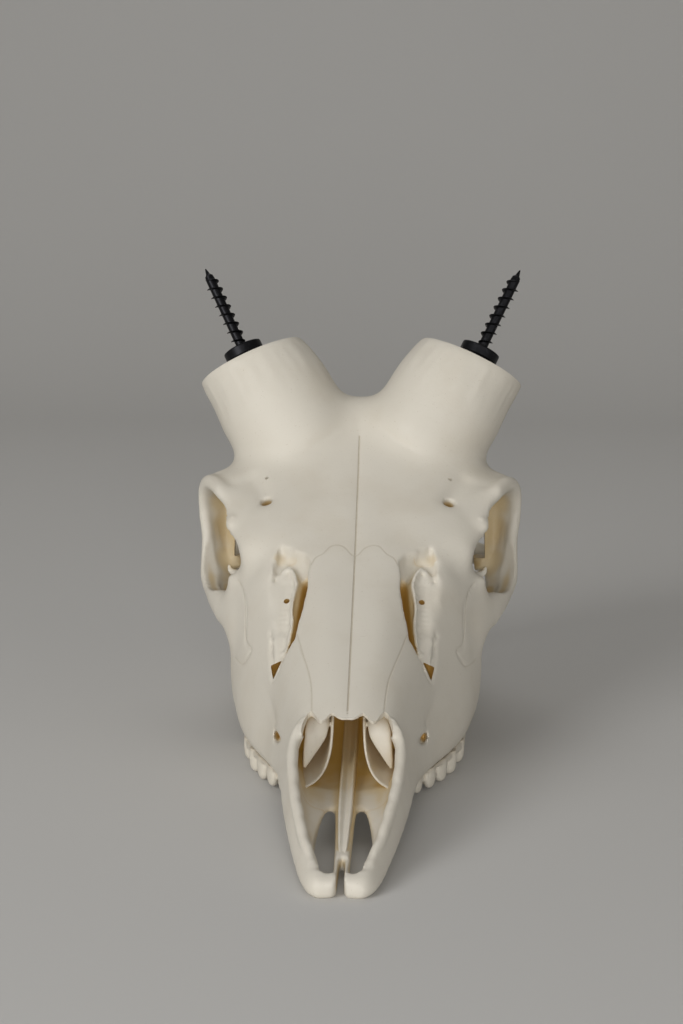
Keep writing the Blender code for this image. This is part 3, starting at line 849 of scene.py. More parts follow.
@dataclass
class CastSkull:
    """The skull itself, from its outer forms to the parted bones.

    Attributes:
        sections: The section tables.
        pedicle_radius: The radius of a pedicle at its seat.
        pedicle_length: How far down its axis a pedicle is its own bone.
        bed_rounds: Rounds of smoothing where forms flow together.
    """

    sections: SkullSections = SkullSections()
    pedicle_radius: float = 20.6
    pedicle_length: float = 23.0
    bed_rounds: int = 120

    def along_axis(self, depth: float, inward: float = 0.0) -> Vector:
        """The place at a depth under the left seat, on its axis, moved towards the middle plane."""
        return SEAT - SEAT_AXIS * depth - Vector((inward, 0, 0))

    def orbit_forms(self) -> list[bpy.types.Object]:
        """The left eye socket's ring, the bar behind it and the cheekbone's arch.

        Returns:
            The three forms.
        """
        ring = sweep("ring", [(44.5, 170, 77), (49, 183, 87), (55.5, 196, 89.5), (58.5, 204, 81.5),
                              (57, 203, 67), (56, 194.5, 53.5), (50.5, 180.5, 49), (45.5, 168.5, 52),
                              (42.8, 163, 61)],
                     [3.2, 3, 3, 2.6, 2.6, 3.2, 3.4, 3.4, 3.2])
        bar = sweep("bar", [(50.5, 200, 92), (53, 208, 84), (53, 210.5, 73), (52.5, 207, 60), (51, 198, 49)],
                    [6.5, 7.2, 7.4, 7.6, 7], flat=0.36, wide=(-0.72, 0.69, 0))
        arch = sweep("arch", [(42.6, 156, 42), (47.6, 171, 46.5), (53.4, 187, 50.5), (54.4, 202, 53.5),
                              (51.5, 217, 55.5), (45, 229, 57), (34, 234, 57)],
                     [7, 6.4, 5.2, 4.6, 4.2, 5, 6.5], flat=0.6)
        return [ring, bar, arch]

    def pedicle_form(self) -> bpy.types.Object:
        """The left pedicle, which widens towards the middle of the forehead."""
        stops = [(-0.8, 0, -2.0), (0.2, 0, -0.6), (2.4, 0, 0), (9, 1.7, 1.3), (16, 2.7, 2.1), (25, 3.4, 2.6),
                 (40, 6, 2)]
        return sweep("pedicle", [tuple(self.along_axis(depth, inward)) for depth, inward, _ in stops],
                     [self.pedicle_radius + wider for _, _, wider in stops], wide=(0, 1, 0), sides=64)

    def rear_forms(self) -> list[bpy.types.Object]:
        """What stands out on the left of the back and base of the skull.

        Returns:
            The five forms.
        """
        jugular = sweep("jugular", [(26, 248, 52), (26, 252, 36), (24, 253, 20), (22, 251, 7),
                                    (21.5, 250, -3)],
                        [12, 10, 7.6, 5.4, 4.4], flat=0.56, wide=(0.35, 1, 0))
        wing = sweep("wing", [(17, 160, 26), (16, 176, 25), (15, 190, 28), (15, 202, 35)], [7, 9, 8, 5],
                     flat=0.3)
        return [jugular, wing, ball("condyle", (11.5, 266.5, 47), (9, 8, 9.5)),
                ball("bulla", (20, 238, 37), (8, 11, 9)), ball("ear", (39, 240, 56), (6, 8, 7))]

    def outer(self) -> bpy.types.Object:
        """The skull before anything is cut into it.

        Returns:
            The closed skull.
        """
        tables = self.sections
        forms = [loft("face", tables.face), loft("brain", tables.brain), loft("shelf", tables.shelf),
                 loft("jaw_front", tables.jaw_front)]
        for form in self.orbit_forms() + [self.pedicle_form()] + self.rear_forms():
            forms += both(form)
        forms.append(sweep("saddle", [(-26, 217, 104), (0, 217, 104.5), (26, 217, 104)], [15, 14.6, 15]))
        forms.append(sweep("base", [(0, 168, 30), (0, 190, 34), (0, 215, 38), (0, 240, 42), (0, 264, 43)],
                           [9, 8, 9, 11, 12]))
        forms.append(sweep("crest", [(-37, 247, 62), (-30, 257, 79), (0, 263.5, 88), (30, 257, 79),
                                     (37, 247, 62)],
                           [4, 3.4, 4, 3.4, 4]))
        skull = fuse(gather("skull", forms), FORM_VOXEL, 10)
        surface = Surface(skull)
        surface.ease([((12, 203, 110), 22), ((26, 196, 104), 24), ((16, 208, 112), 22), ((40, 200, 100), 14),
                      ((44, 210, 98), 12), ((42, 160, 46), 15), ((36, 247, 62), 16), ((26, 252, 40), 14),
                      ((22, 176, 34), 16), ((0, 262, 86), 14), ((43, 177, 86), 11), ((31, 159, 74), 13),
                      ((38, 160, 69), 12), ((12, 158, 79), 12)], self.bed_rounds)
        self.model(surface)
        surface.write()
        return fuse(skull, BODY_VOXEL, 4)

    def model(self, surface: Surface) -> None:
        """Presses the soft hollows of the forehead, the tear pits and the cheeks.

        Args:
            surface: The skull's points.
        """
        surface.press((33, 158, 64), 6.0, 1.4)
        surface.press((15, 160, 78), 8.0, 0.5)
        surface.press((19, 199, 103), 13.0, -1.6)
        surface.groove([(38.5, 187, 92.5), (36.5, 183.5, 90.6), (34.5, 179.5, 88.2), (33.4, 176, 86.4)], 3.4,
                       1.4)
        surface.groove([(37, 128, 38), (33, 118, 33), (29.6, 110, 29), (26.5, 101, 25)], 2.2, 0.9)

    def face_slope(self, side: float, back: float) -> float:
        """How high the left of the face is beside the nasal bone, where it falls steeper further out.

        Args:
            side: The distance from the middle plane.
            back: The distance behind the jaw's tips.

        Returns:
            The height.
        """
        near_nose = 71 + 0.61 * (back - 147)
        at_cheek = 67.4 + 0.92 * (back - 147)
        return near_nose + (at_cheek - near_nose) * (side - 16) / 12

    def on_slope(self, outline: Iterable[tuple[float, float]], under: float) -> list[Place]:
        """The places of an outline seen from above, at a depth under the slope of the face."""
        return [(side, back, self.face_slope(side, back) - under) for side, back in outline]

    def face_openings(self) -> list[bpy.types.Object]:
        """The left opening beside the nasal bone, the slits that lead on from it, and the two small canals.

        Returns:
            The tools for the left side.
        """
        window = [(15.4, 145), (17.5, 148.6), (22.4, 151.6), (26.6, 155), (28, 150), (28.6, 143), (29, 133),
                  (28.4, 119), (26.8, 112.4), (24, 110), (19, 113.6), (17, 131)]
        slit = [(16.6, 141), (18.6, 138.5), (19.8, 130), (20.8, 121), (22.4, 115.4), (19.4, 115), (17.4, 122),
                (16.0, 132)]
        tools = [prism("window", self.on_slope(window, 4.0), (0, 0, 16)),
                 prism("slit", self.on_slope(slit, -3), (-2, 11, -15))]
        tools.append(sweep("supraorbital", [(34.6, 170.5, 92), (33.4, 174.8, 87.2), (32.3, 179.3, 82.6),
                                            (31, 184, 78.5)], [2.0, 2.3, 2.1, 1.5], sides=20))
        tools.append(sweep("infraorbital", [(23.6, 84, 24.6), (24.1, 90, 22.8), (24.4, 95, 21.3),
                                            (24.0, 101, 19.6), (23, 107, 18.4)], [2.8, 3.0, 3.0, 2.6, 1.4],
                           flat=0.4, wide=(0.58, 0, 0.82), sides=20))
        return tools

    def nose_openings(self) -> list[bpy.types.Object]:
        """The hollow of the nose."""
        return [loft("scoop", self.sections.nose_scoop), loft("nose", self.sections.nose_depth)]

    def nose_edge(self) -> bpy.types.Object:
        """What is cut off the front of the nasal bones, which leaves their pointed edge.

        Returns:
            The tool.
        """
        edge = [(-12, 46), (-13.6, 60), (-14.3, 63.5), (-14.4, 66), (-13.7, 69.2), (-12.7, 72.2),
                (-11.6, 72.6), (-10.2, 69.8), (-9.3, 67.2), (-8.4, 65.7), (-7.3, 66.1), (-6.2, 67.8),
                (-5, 69.3), (-4, 68.6), (-3, 67.2), (-1.6, 66.2), (0, 66.4)]
        ring = edge + [(-side, back) for side, back in edge[-2::-1]]
        low = [(side, back + 2, 29.5) for side, back in ring]
        return prism("nose_edge", low, (0, -9, 24))

    def jaw_openings(self) -> list[bpy.types.Object]:
        """The two windows and the slit in the front of the jaw, and the vault of the palate.

        Returns:
            The tools for both sides.
        """
        window = [(3.6, 54), (5.8, 51.6), (7.6, 44), (8.7, 35.5), (8.8, 27), (8.3, 20.5), (6.9, 15),
                  (5.2, 11.4), (3.7, 10.6), (2.6, 12.8), (2.4, 17), (2.4, 24), (2.6, 33), (3, 46), (3.6, 54)]
        outline = flow([(side, back, -5) for side, back in window], 4)[:-1]
        tools = both(prism("window", [tuple(p) for p in outline], (0, 0, 19)))
        tools += both(sweep("window_front", [(3.5, 4.4, 8.4), (3.8, 6.2, 7.2), (4.3, 8.6, 6), (4.7, 12, 4.6),
                                               (5.1, 18, 3.2)], [0.9, 1.4, 2.0, 2.5, 2.9]))
        tools += both(sweep("palate_groove", [(5.4, 34, 1), (5.6, 45, 4.4), (5.7, 53, 5.9), (5.8, 60, 5.4),
                                              (6, 70, 3.6), (6, 82, 0.5)], [3.6] * 6, flat=0.85,
                            wide=(1, 0, 0)))
        slit = [(-1.5, -10, -5), (1.5, -10, -5), (0.75, 19.5, -5), (0.55, 21.2, -5), (0, 22.0, -5),
                (-0.55, 21.2, -5), (-0.75, 19.5, -5)]
        tools.append(prism("slit", slit, (0, 0, 35)))
        tools.append(loft("palate", self.sections.palate))
        return tools

    def hollow(self) -> bpy.types.Object:
        """Everything that is cut out of the skull, as one tool.

        Returns:
            The tool.
        """
        tools = self.nose_openings() + self.jaw_openings()
        for tool in self.face_openings():
            tools += both(tool)
        tools += both(ball("orbit", (46, 185.5, 67), (21, 18.5, 16.8), turn=-24))
        tools += both(ball("temple", (44, 212, 72), (9.5, 22, 17)))
        tools += both(ball("temple_low", (41, 208, 44), (8.5, 16, 14)))
        tools.append(ball("magnum", (0, 268, 58), (8.5, 12, 8)))
        return fuse(gather("hollow", tools), TOOL_VOXEL, 2)

    def face_additions(self) -> list[bpy.types.Object]:
        """The leaf that stands in the left opening of the face, with the ridge along its edge.

        Returns:
            The two forms.
        """
        leaf = sweep("leaf", [(24.2, 148, 64.6), (24, 143, 61.2), (24.3, 136, 56), (24.4, 128, 49.6),
                              (24.4, 120, 43.2), (24.6, 115, 39.2)], [2.4, 3.6, 3.8, 3.6, 2.8, 1.4], flat=0.4,
                     wide=(1, -0.25, -0.3))
        ridge = sweep("leaf_ridge", [(27.4, 139, 57.8), (26.8, 143, 61.3), (25.2, 146.6, 65),
                                     (22.9, 147.2, 66.8), (21, 144, 65.2), (20.2, 139.9, 62.6),
                                     (20.8, 135.3, 59.6), (21.2, 130.9, 56.2), (20.9, 126.7, 52.4),
                                     (21.2, 122.1, 48.4), (22.4, 116.8, 43.8)],
                      [0.6, 0.8, 0.9, 0.9, 0.9, 0.8, 0.8, 0.8, 0.9, 0.9, 0.7], sides=12)
        return [leaf, ridge]

    def socket_additions(self) -> list[bpy.types.Object]:
        """The left socket's rear wall, its ragged front rim and the hook on it.

        Returns:
            The forms for the left side.
        """
        wall = sweep("wall", [(49.6, 200, 91), (51.2, 207.5, 83), (51.6, 210.5, 73), (52, 208.5, 62),
                              (51.5, 200, 52), (49.5, 191, 48.4)], [5.4, 6.6, 6.6, 5.8, 5.4, 4], flat=0.22,
                     wide=(-0.8, 0.6, 0))
        fold = sweep("fold", [(48, 206, 88), (47.2, 209.5, 79), (46.4, 210.5, 71), (46.2, 209.5, 64),
                              (46.8, 206, 55)],
                     [2.4, 3.0, 3.5, 3.7, 3.6], sides=20)
        strut = sweep("strut", [(45.4, 203, 86), (44.6, 206, 77), (44.2, 206.5, 69), (45, 204, 60)],
                      [2.0, 2.3, 2.5, 2.4], sides=16)
        hook = sweep("hook", [(41.5, 168, 60.5), (44, 171, 60.2), (45.9, 172, 61.4), (46.2, 172.4, 63.2)],
                     [1.9, 1.5, 1.1, 0.7], sides=14)
        bumps = [ball("bump", centre, (radius, 2.2, radius * 1.3))
                 for centre, radius in (((44.8, 172, 80.4), 1.0), ((44.6, 172, 75), 1.2),
                                        ((43.6, 171.4, 70), 1.5), ((42.6, 170, 57.6), 1.2))]
        return [wall, fold, strut, hook] + bumps

    def lip(self) -> bpy.types.Object:
        """The left half of the thick rounded rim round the opening of the nose."""
        return sweep("lip", [(14.4, 71, 34), (15.4, 68, 32), (16.6, 64, 28.2), (16.9, 58, 25),
                             (16.4, 52, 22.5), (15.7, 45, 19.6), (14.6, 38, 17), (13.1, 30, 14.1),
                             (12.1, 25, 12.1), (10.9, 20, 10.2), (9.1, 14.5, 8.2), (8.4, 10, 6.6),
                             (7.2, 6, 5.2)],
                     [1.0, 1.5, 1.9, 1.95, 1.95, 1.9, 1.9, 1.85, 1.8, 1.7, 1.6, 1.5, 1.3], sides=20)

    def late_openings(self) -> bpy.types.Object:
        """What is cut last, so that its edges stay crisp: the nasal bones' front edge and the smallest holes.

        Returns:
            One tool for both sides.
        """
        tools = [self.nose_edge()]
        corner = [(27.3, 113.6, 40.4), (23.3, 111, 42.9), (26.2, 108.8, 36.7)]
        for tool in (prism("corner", corner, (1.0, 15, -3.7)),
                     sweep("tear_hole", [(23.7, 132.4, 60.2), (23.3, 136, 57.9), (22.8, 141, 54.6)],
                           [0.9, 1.1, 1.0], sides=16),
                     sweep("supraorbital_dot", [(33.2, 184, 96), (33.4, 186.4, 92.7), (33.7, 189.6, 88.4)],
                           [0.75, 0.75, 0.6], sides=12)):
            tools += both(tool)
        return fuse(gather("late", tools), TOOL_VOXEL * 0.7, 1)

    def body(self) -> tuple[bpy.types.Object, BVHTree]:
        """Makes the whole skull in one piece.

        Returns:
            The skull, and the outer surface it had before it was hollowed.
        """
        skull = self.outer()
        hull = surface_tree(skull)
        hollow = self.hollow()
        carve(skull, hollow)
        bpy.data.objects.remove(hollow)
        added = []
        for form in self.face_additions() + self.socket_additions() + [self.lip()]:
            added += both(form)
        skull = fuse(gather("skull", [skull] + added), BODY_VOXEL, 3)
        self.soften(skull)
        late = self.late_openings()
        carve(skull, late)
        bpy.data.objects.remove(late)
        surface = Surface(skull)
        surface.ease([((14.8, 64.5, 30.5), 3.2)], 8)
        surface.write()
        self.score(skull)
        self.cut_flats(skull)
        return skull, hull

    def soften(self, skull: bpy.types.Object) -> None:
        """Models the leaf in the face's opening, and rounds the edges of the openings and the jaw's tips.

        Args:
            skull: The hollowed skull.
        """
        surface = Surface(skull)
        surface.groove([(25.6, 149.8, 68), (22.8, 150.2, 68.6), (19.6, 146.8, 66.8), (18, 143, 64)], 1.5, 1.3)
        surface.groove([(24.2, 142, 62), (24.5, 135, 56.8), (24.2, 126, 50)], 2.2, 0.8)
        surface.groove([(41.5, 158.5, 59.2), (38.4, 149.4, 54), (38, 145, 47.5), (37.8, 141.1, 41.5),
                        (35.6, 135.9, 40.3), (39, 140.4, 34.2), (42, 150, 34)], 0.8, 0.3)
        surface.ease([((28.8, 149, 68.5), 3.6), ((29.2, 142, 62), 3.6), ((29.4, 135, 56), 3.6),
                      ((29.3, 128, 50), 3.6), ((28.8, 121, 43.5), 3.6), ((27.8, 114.5, 37.5), 3),
                      ((23, 152.6, 72), 2.2)], 24)
        surface.ease([((50.5, 206, 86), 7), ((50.5, 211, 74), 7), ((50.5, 208, 60), 8), ((49, 197, 50), 8)],
                     30)
        surface.ease([((15.2, 69, 33.4), 3.4), ((15.6, 62, 27.6), 3), ((15.2, 54, 24), 3),
                      ((14.4, 46, 21), 3), ((13.2, 38, 18), 3), ((11.6, 30, 15), 3), ((10, 22, 12), 3),
                      ((7.4, 14.5, 9.4), 3)], 10)
        surface.ease([((27.6, 145, 64), 3), ((27.4, 139, 59), 3), ((27.4, 133, 54), 3),
                      ((27.4, 126, 48.5), 3)], 14)
        surface.ease([((2.2, 1, 1.5), 4.4)], 25)
        surface.ease([((6.4, 9, 7.6), 3.4), ((7.4, 13, 8.4), 3)], 14)
        surface.ease([((24.4, 95, 21.7), 5), ((33.4, 175, 87), 3.4)], 6)
        surface.write()

    def score(self, skull: bpy.types.Object) -> None:
        """Presses the fold along the middle of the forehead and nose, and the wrinkles of the pedicles.

        Args:
            skull: The skull.
        """
        surface = Surface(skull)
        side, back, up = surface.points.T
        on_top = np.clip(surface.normals[:, 2] * 4 - 0.6, 0, 1) * (up > 30)
        brow = np.clip((203 - back) / 9, 0, 1) * np.clip((back - 143) / 4, 0, 1)
        nose = np.clip((back - 60) / 4, 0, 1) * np.clip((147 - back) / 4, 0, 1)
        fold = 0.5 * brow * np.exp(-np.abs(side) / 1.7) + 0.26 * nose * np.exp(-np.abs(side) / 1.0)
        surface.points -= surface.normals * (on_top * fold)[:, None]
        for half in Side:
            self.wrinkle(surface, half)
        surface.write()

    def wrinkle(self, surface: Surface, half: Side) -> None:
        """Presses fine lengthwise wrinkles into one pedicle.

        Args:
            surface: The skull's points.
            half: The pedicle's side.
        """
        axis = np.array(SEAT_AXIS)
        across = np.cross(axis, (0, 1, 0))
        across /= np.linalg.norm(across)
        apart = surface.points * (half.value, 1, 1) - np.array(SEAT)
        down = -apart @ axis
        radial = apart + down[:, None] * axis
        reach = np.linalg.norm(radial, axis=1)
        turn = np.arctan2(radial @ np.cross(axis, across), radial @ across)
        waves = sum(share * np.sin(count * turn + half.value * count * 0.37 + 1.6 * np.sin(down / 7 + count))
                    for count, share in ((13, 0.5), (19, 0.4), (29, 0.3), (37, 0.2)))
        fade = np.clip((down - 1.5) / 3, 0, 1) * np.clip((24 - down) / 12, 0, 1)
        near = (reach > 16) & (reach < 27)
        surface.points -= surface.normals * (0.11 * waves * fade * near)[:, None]

    def cut_flats(self, skull: bpy.types.Object) -> None:
        """Makes the pedicles' seats, the tooth beds and all that stands on the table exactly flat.

        Args:
            skull: The skull.
        """
        seat = SEAT - SEAT_AXIS * SEAT_CUT
        tools = both(half_space("seat", tuple(seat), SEAT_AXIS, 44))
        bed = [(15, 91), (17, 166), (46, 166), (46, 91)]
        tools += both(prism("tooth_bed", [(side, back, -10) for side, back in bed], (0, 0, 10 + GUM_UP)))
        table = [(-80, -20), (80, -20), (80, 300), (-80, 300)]
        tools.append(prism("table", [(side, back, -30) for side, back in table], (0, 0, 30)))
        for tool in tools:
            carve(skull, tool)
            bpy.data.objects.remove(tool)

    def nasal_claim(self) -> bpy.types.Object:
        """The space of the left nasal bone, with its thickness under it.

        Returns:
            The closed body.
        """
        edge = ((JOINT / 2, 55), (JOINT / 2, NASAL_END[0][1])) + NASAL_END[1:] + NASAL_SIDE + ((11.4, 55),)
        low = [(side, back, float(np.interp(back, (55, 70, 86, 113, 131, 151), (26, 32, 39, 48, 56, 66))))
               for side, back in edge]
        high = [(side, back, 110) for side, back in edge]
        return drawn_out("nasal_claim", [[place(*p) for p in low], [place(*p) for p in high]])

    def premaxilla_claim(self) -> bpy.types.Object:
        """The space of the left premaxilla, the front of the jaw on one side."""
        outline = [(-20, -20), (42, -20), (47, 4), (57, 18), (66, 28.5), (70, 35), (71, 60), (-20, 60)]
        return prism("premaxilla_claim", [(JOINT / 2, back, up) for back, up in outline], (60, 0, 0))

    def pedicle_claim(self) -> bpy.types.Object:
        """The space of the left pedicle, down to where it grows out of the forehead."""
        return half_space("pedicle_claim", tuple(self.along_axis(self.pedicle_length, 3)), SEAT_AXIS, 54)

    def cheekbone_claim(self) -> bpy.types.Object:
        """The space of the left cheekbone: the lower rim of the eye socket, half the bar, and the arch."""
        outline = CHEEK_EDGE + ((46, 37), (90, 37), (90, 80), (47, 80), (47, 60))
        return prism("cheekbone_claim", [(side, 128, up) for side, up in outline], (0, 93, 0))

    def dress(self, inside: dict[str, bpy.types.Object], skull: bpy.types.Object, hull: BVHTree) -> None:
        """Parts the skull, and gives its bones and those inside the nose their painted shade and material.

        Args:
            inside: The bones inside the nose, under their nodes' names.
            skull: The whole skull.
            hull: The outer surface that it had before it was hollowed.
        """
        bone = CastBone().make()
        shelter = Shelter(surface_tree(skull, *inside.values()), hull)
        sutures = SutureMap(hull)
        for node, piece in (self.part(skull) | inside).items():
            # Painted shade: records how far each point is shut in by bone.
            shelter.record(piece, PAINTED_SHADE_SHARE.get(node, 1.0))
            sutures.record(piece)
            dress_piece(piece, node, bone)

    def part(self, skull: bpy.types.Object) -> dict[str, bpy.types.Object]:
        """Parts the skull into its named bones.

        Args:
            skull: The whole skull, which becomes the braincase.

        Returns:
            Each bone under the name of the node that it stands for.
        """
        bones = {}
        for name, claim in (("nasal", self.nasal_claim), ("premaxilla", self.premaxilla_claim),
                            ("pedicle", self.pedicle_claim), ("cheekbone", self.cheekbone_claim)):
            left = claim()
            right = twin(left)
            bones[name + "_left"] = part_off(skull, name + "_left", left)
            bones[name + "_right"] = part_off(skull, name + "_right", right)
        front = [(-20, -20), (172, -20), (146, 90), (-20, 90)]
        brow = [(130, 36), (166, 42), (190, 58), (215, 80), (228, 96), (241, 107), (251, 125), (251, 170),
                (130, 170)]
        for name, outline in (("muzzle", front), ("forehead", brow)):
            claim = prism(name + "_claim", [(-90, back, up) for back, up in outline], (180, 0, 0))
            bones[name] = part_off(skull, name, claim)
        bones["braincase"] = largest_shell(skull)
        return bones


def surface_tree(*made: bpy.types.Object) -> BVHTree:
    """A search tree of the faces of some objects.

    Args:
        made: The objects.

    Returns:
        The tree.
    """
    bm = bmesh.new()
    for one in made:
        bm.from_mesh(one.data)
    tree = BVHTree.FromBMesh(bm)
    bm.free()
    return tree


def part_off(whole: bpy.types.Object, name: str, claim: bpy.types.Object) -> bpy.types.Object:
    """Takes what lies inside the claim out of the whole, as a piece of its own with a hair's gap round it.

    Args:
        whole: What is parted, which keeps the rest.
        name: The piece's name.
        claim: The closed body round the piece, which is removed.

    Returns:
        The piece.
    """
    piece = carve(copy_of(whole, name), claim, "INTERSECT")
    wider = grown(claim, JOINT)
    carve(whole, wider)
    bpy.data.objects.remove(wider)
    bpy.data.objects.remove(claim)
    return largest_shell(piece)


# Shader maths

Number = Union[float, "Wire"]


class Graph:
    """A material's node graph."""

    def __init__(self, name: str) -> None:
        """Starts a material with a Principled shader.

        Args:
            name: The material's name.
        """
        self.material = bpy.data.materials.new(name)
        self.material.use_nodes = True
        self.tree = self.material.node_tree
        self.shader = self.tree.nodes["Principled BSDF"]

    def node(self, kind: str, settings: Optional[dict] = None, **inputs: object) -> bpy.types.ShaderNode:
        """Adds a node.

        Args:
            kind: The node's type, without its Shader prefix.
            settings: Its own settings.
            inputs: Values or wires for its sockets, with underscores for the spaces in their names.

        Returns:
            The node.
        """
        made = self.tree.nodes.new("ShaderNode" + kind)
        for key, value in (settings or {}).items():
            setattr(made, key, value)
        for key, value in inputs.items():
            self.feed(made.inputs[key.replace("_", " ")], value)
        return made

    def feed(self, socket: bpy.types.NodeSocket, value: object) -> None:
        """Joins a wire to a socket, or sets a plain value on it."""
        if isinstance(value, Wire):
            self.tree.links.new(value.output, socket)
        else:
            socket.default_value = value

    def wire(self, node: bpy.types.ShaderNode, name: Union[str, int] = 0) -> "Wire":
        """The wire that leaves one output of a node."""
        return Wire(self, node.outputs[name])

    def attribute(self, name: str, output: str) -> "Wire":
        """What the mesh has stored under a name."""
        return self.wire(self.node("Attribute", {"attribute_name": name}), output)

    def place(self) -> "Wire":
        """The point of the piece that is being shaded, in metres."""
        return self.wire(self.node("TexCoord"), "Object")

    def noise(self, scale: float, detail: float = 2.0, where: Optional["Wire"] = None) -> "Wire":
        """Cloudy noise from 0 to 1.

        Args:
            scale: Clouds per metre.
            detail: How much finer noise is laid over it.
            where: The point to read it at, or the point of the piece.

        Returns:
            The noise's value.
        """
        made = self.node("TexNoise", {"noise_dimensions": "3D"}, Vector=where or self.place(), Scale=scale,
                         Detail=detail, Roughness=0.55)
        return self.wire(made, "Fac")

    def mix(self, share: Number, low: object, high: object) -> "Wire":
        """A colour between two colours.

        Args:
            share: How much of the second colour shows.
            low: The first colour.
            high: The second colour.

        Returns:
            The colour.
        """
        made = self.node("Mix", {"data_type": "RGBA"})
        self.feed(made.inputs[0], share)
        self.feed(made.inputs[6], low)
        self.feed(made.inputs[7], high)
        return Wire(self, made.outputs[2])

    def bump(self, height: "Wire", distance: float, strength: float,
             under: Optional["Wire"] = None) -> "Wire":
        """Turns a height into a normal.

        Args:
            height: The height.
            distance: What a height of one stands for, in metres.
            strength: The share of it that shows.
            under: A normal that it lies on.

        Returns:
            The normal.
        """
        made = self.node("Bump", None, Strength=strength, Distance=distance, Height=height)
        if under:
            self.feed(made.inputs["Normal"], under)
        return self.wire(made, "Normal")


class Wire:
    """One output of a node, on which sums can be written as in plain maths."""

    def __init__(self, graph: Graph, output: bpy.types.NodeSocket) -> None:
        """Holds the output and the graph that it belongs to."""
        self.graph = graph
        self.output = output

    def maths(self, operation: str, *values: Number) -> "Wire":
        """The result of one Math node.

        Args:
            operation: What the node does.
            values: What it works on.

        Returns:
            The result.
        """
        made = self.graph.node("Math", {"operation": operation})
        for socket, value in zip(made.inputs, values):
            self.graph.feed(socket, value)
        return self.graph.wire(made)

    def __add__(self, other: Number) -> "Wire":
        """The sum."""
        return self.maths("ADD", self, other)

    __radd__ = __add__

    def __sub__(self, other: Number) -> "Wire":
        """This less the other."""
        return self.maths("SUBTRACT", self, other)

    def __rsub__(self, other: Number) -> "Wire":
        """The other less this."""
        return self.maths("SUBTRACT", other, self)

    def __mul__(self, other: Number) -> "Wire":
        """The product."""
        return self.maths("MULTIPLY", self, other)

    __rmul__ = __mul__

    def __neg__(self) -> "Wire":
        """This with its sign changed."""
        return self.maths("MULTIPLY", self, -1.0)

    def at_least(self, other: Number) -> "Wire":
        """The larger of this and the other."""
        return self.maths("MAXIMUM", self, other)

    def between(self, low: float, high: float) -> "Wire":
        """Rises smoothly from 0 at low to 1 at high."""
        made = self.graph.node("MapRange", {"interpolation_type": "SMOOTHSTEP"}, Value=self, From_Min=low,
                               From_Max=high, To_Min=0.0, To_Max=1.0)
        return self.graph.wire(made)

    def parts(self) -> tuple["Wire", "Wire", "Wire"]:
        """The three numbers of a vector."""
        made = self.graph.node("SeparateXYZ", None, Vector=self)
        return self.graph.wire(made, 0), self.graph.wire(made, 1), self.graph.wire(made, 2)


Colour = tuple[float, float, float, float]


@dataclass(frozen=True)
class CastBone:
    """Bone-coloured casting resin, with shade painted into its colour where the casting is deep.

    Attributes:
        pale: The colour of most of it.
        warm: The colour that clouds it.
        tan: Painted shade a little way inside an opening.
        brown: Painted shade deep inside.
        line: The stain in a suture.
        glow: The colour of a painted glow in the deepest hollows, which stands in for light that comes
            through the resin.
        suture_width: How wide a suture shows, in millimetres.
    """

    pale: Colour = (0.70, 0.655, 0.565, 1)
    warm: Colour = (0.64, 0.585, 0.485, 1)
    tan: Colour = (0.60, 0.475, 0.275, 1)
    brown: Colour = (0.44, 0.28, 0.08, 1)
    line: Colour = (0.38, 0.30, 0.18, 1)
    glow: Colour = (0.92, 0.53, 0.09, 1)
    suture_width: float = 0.55

    def make(self) -> bpy.types.Material:
        """Builds the material.

        Returns:
            The material.
        """
        graph = Graph("bone_cast")
        clouds = graph.noise(45.0, 4.0)
        tone = graph.mix(clouds.between(0.42, 0.75) * 0.6, self.pale, self.warm)
        # Painted shade: the colour turns tan, then brown, the more a point is shut in by bone.
        shelter = graph.attribute("shelter", "Fac") + (clouds - 0.5) * 0.2
        tone = graph.mix(shelter.between(0.28, 0.66) * 0.9, tone, self.tan)
        tone = graph.mix(shelter.between(0.66, 1.0) * 0.9, tone, self.brown)
        wander = graph.noise(500.0, 2.0)
        faint = self.cut(graph, 1, 0.9).at_least(self.cut(graph, 2, 0.9) * 0.6)
        cut = self.cut(graph, 0, 0.8).at_least(faint * 0.5)
        tone = graph.mix(cut * (0.34 + wander * 0.4), tone, self.line)
        pores = graph.noise(1500.0, 1.0).between(0.70, 0.78)
        tone = graph.mix(pores * 0.25, tone, self.line)
        graph.feed(graph.shader.inputs["Base Color"], tone)
        # Painted glow: a faint emission in the deepest hollows stands in for light coming through the resin.
        glow = graph.mix(shelter.between(0.55, 1.0), (0.0, 0.0, 0.0, 1), self.glow)
        graph.feed(graph.shader.inputs["Emission Color"], glow)
        graph.shader.inputs["Emission Strength"].default_value = 0.05
        graph.feed(graph.shader.inputs["Roughness"], 0.44 + graph.noise(260.0, 3.0) * 0.16)
        grain = graph.bump(graph.noise(700.0, 4.0) - pores * 0.5, 0.0004, 0.10)
        graph.feed(graph.shader.inputs["Normal"], graph.bump(-cut, 0.00016, 1.0, grain))
        graph.shader.inputs["Specular IOR Level"].default_value = 0.42
        return graph.material

    def cut(self, graph: Graph, channel: int, width: float) -> Wire:
        """How deep in a suture of one channel a point is, from 0 beside it to 1 at its bottom.

        Args:
            graph: The material's graph.
            channel: The suture channel.
            width: How wide it shows, as a share of a suture's width.

        Returns:
            The depth's share.
        """
        step = graph.attribute(f"suture_{channel}", "Vector")
        distance = graph.wire(graph.node("VectorMath", {"operation": "LENGTH"}, Vector=step), "Value")
        return 1.0 - distance.between(0.0, self.suture_width * width)


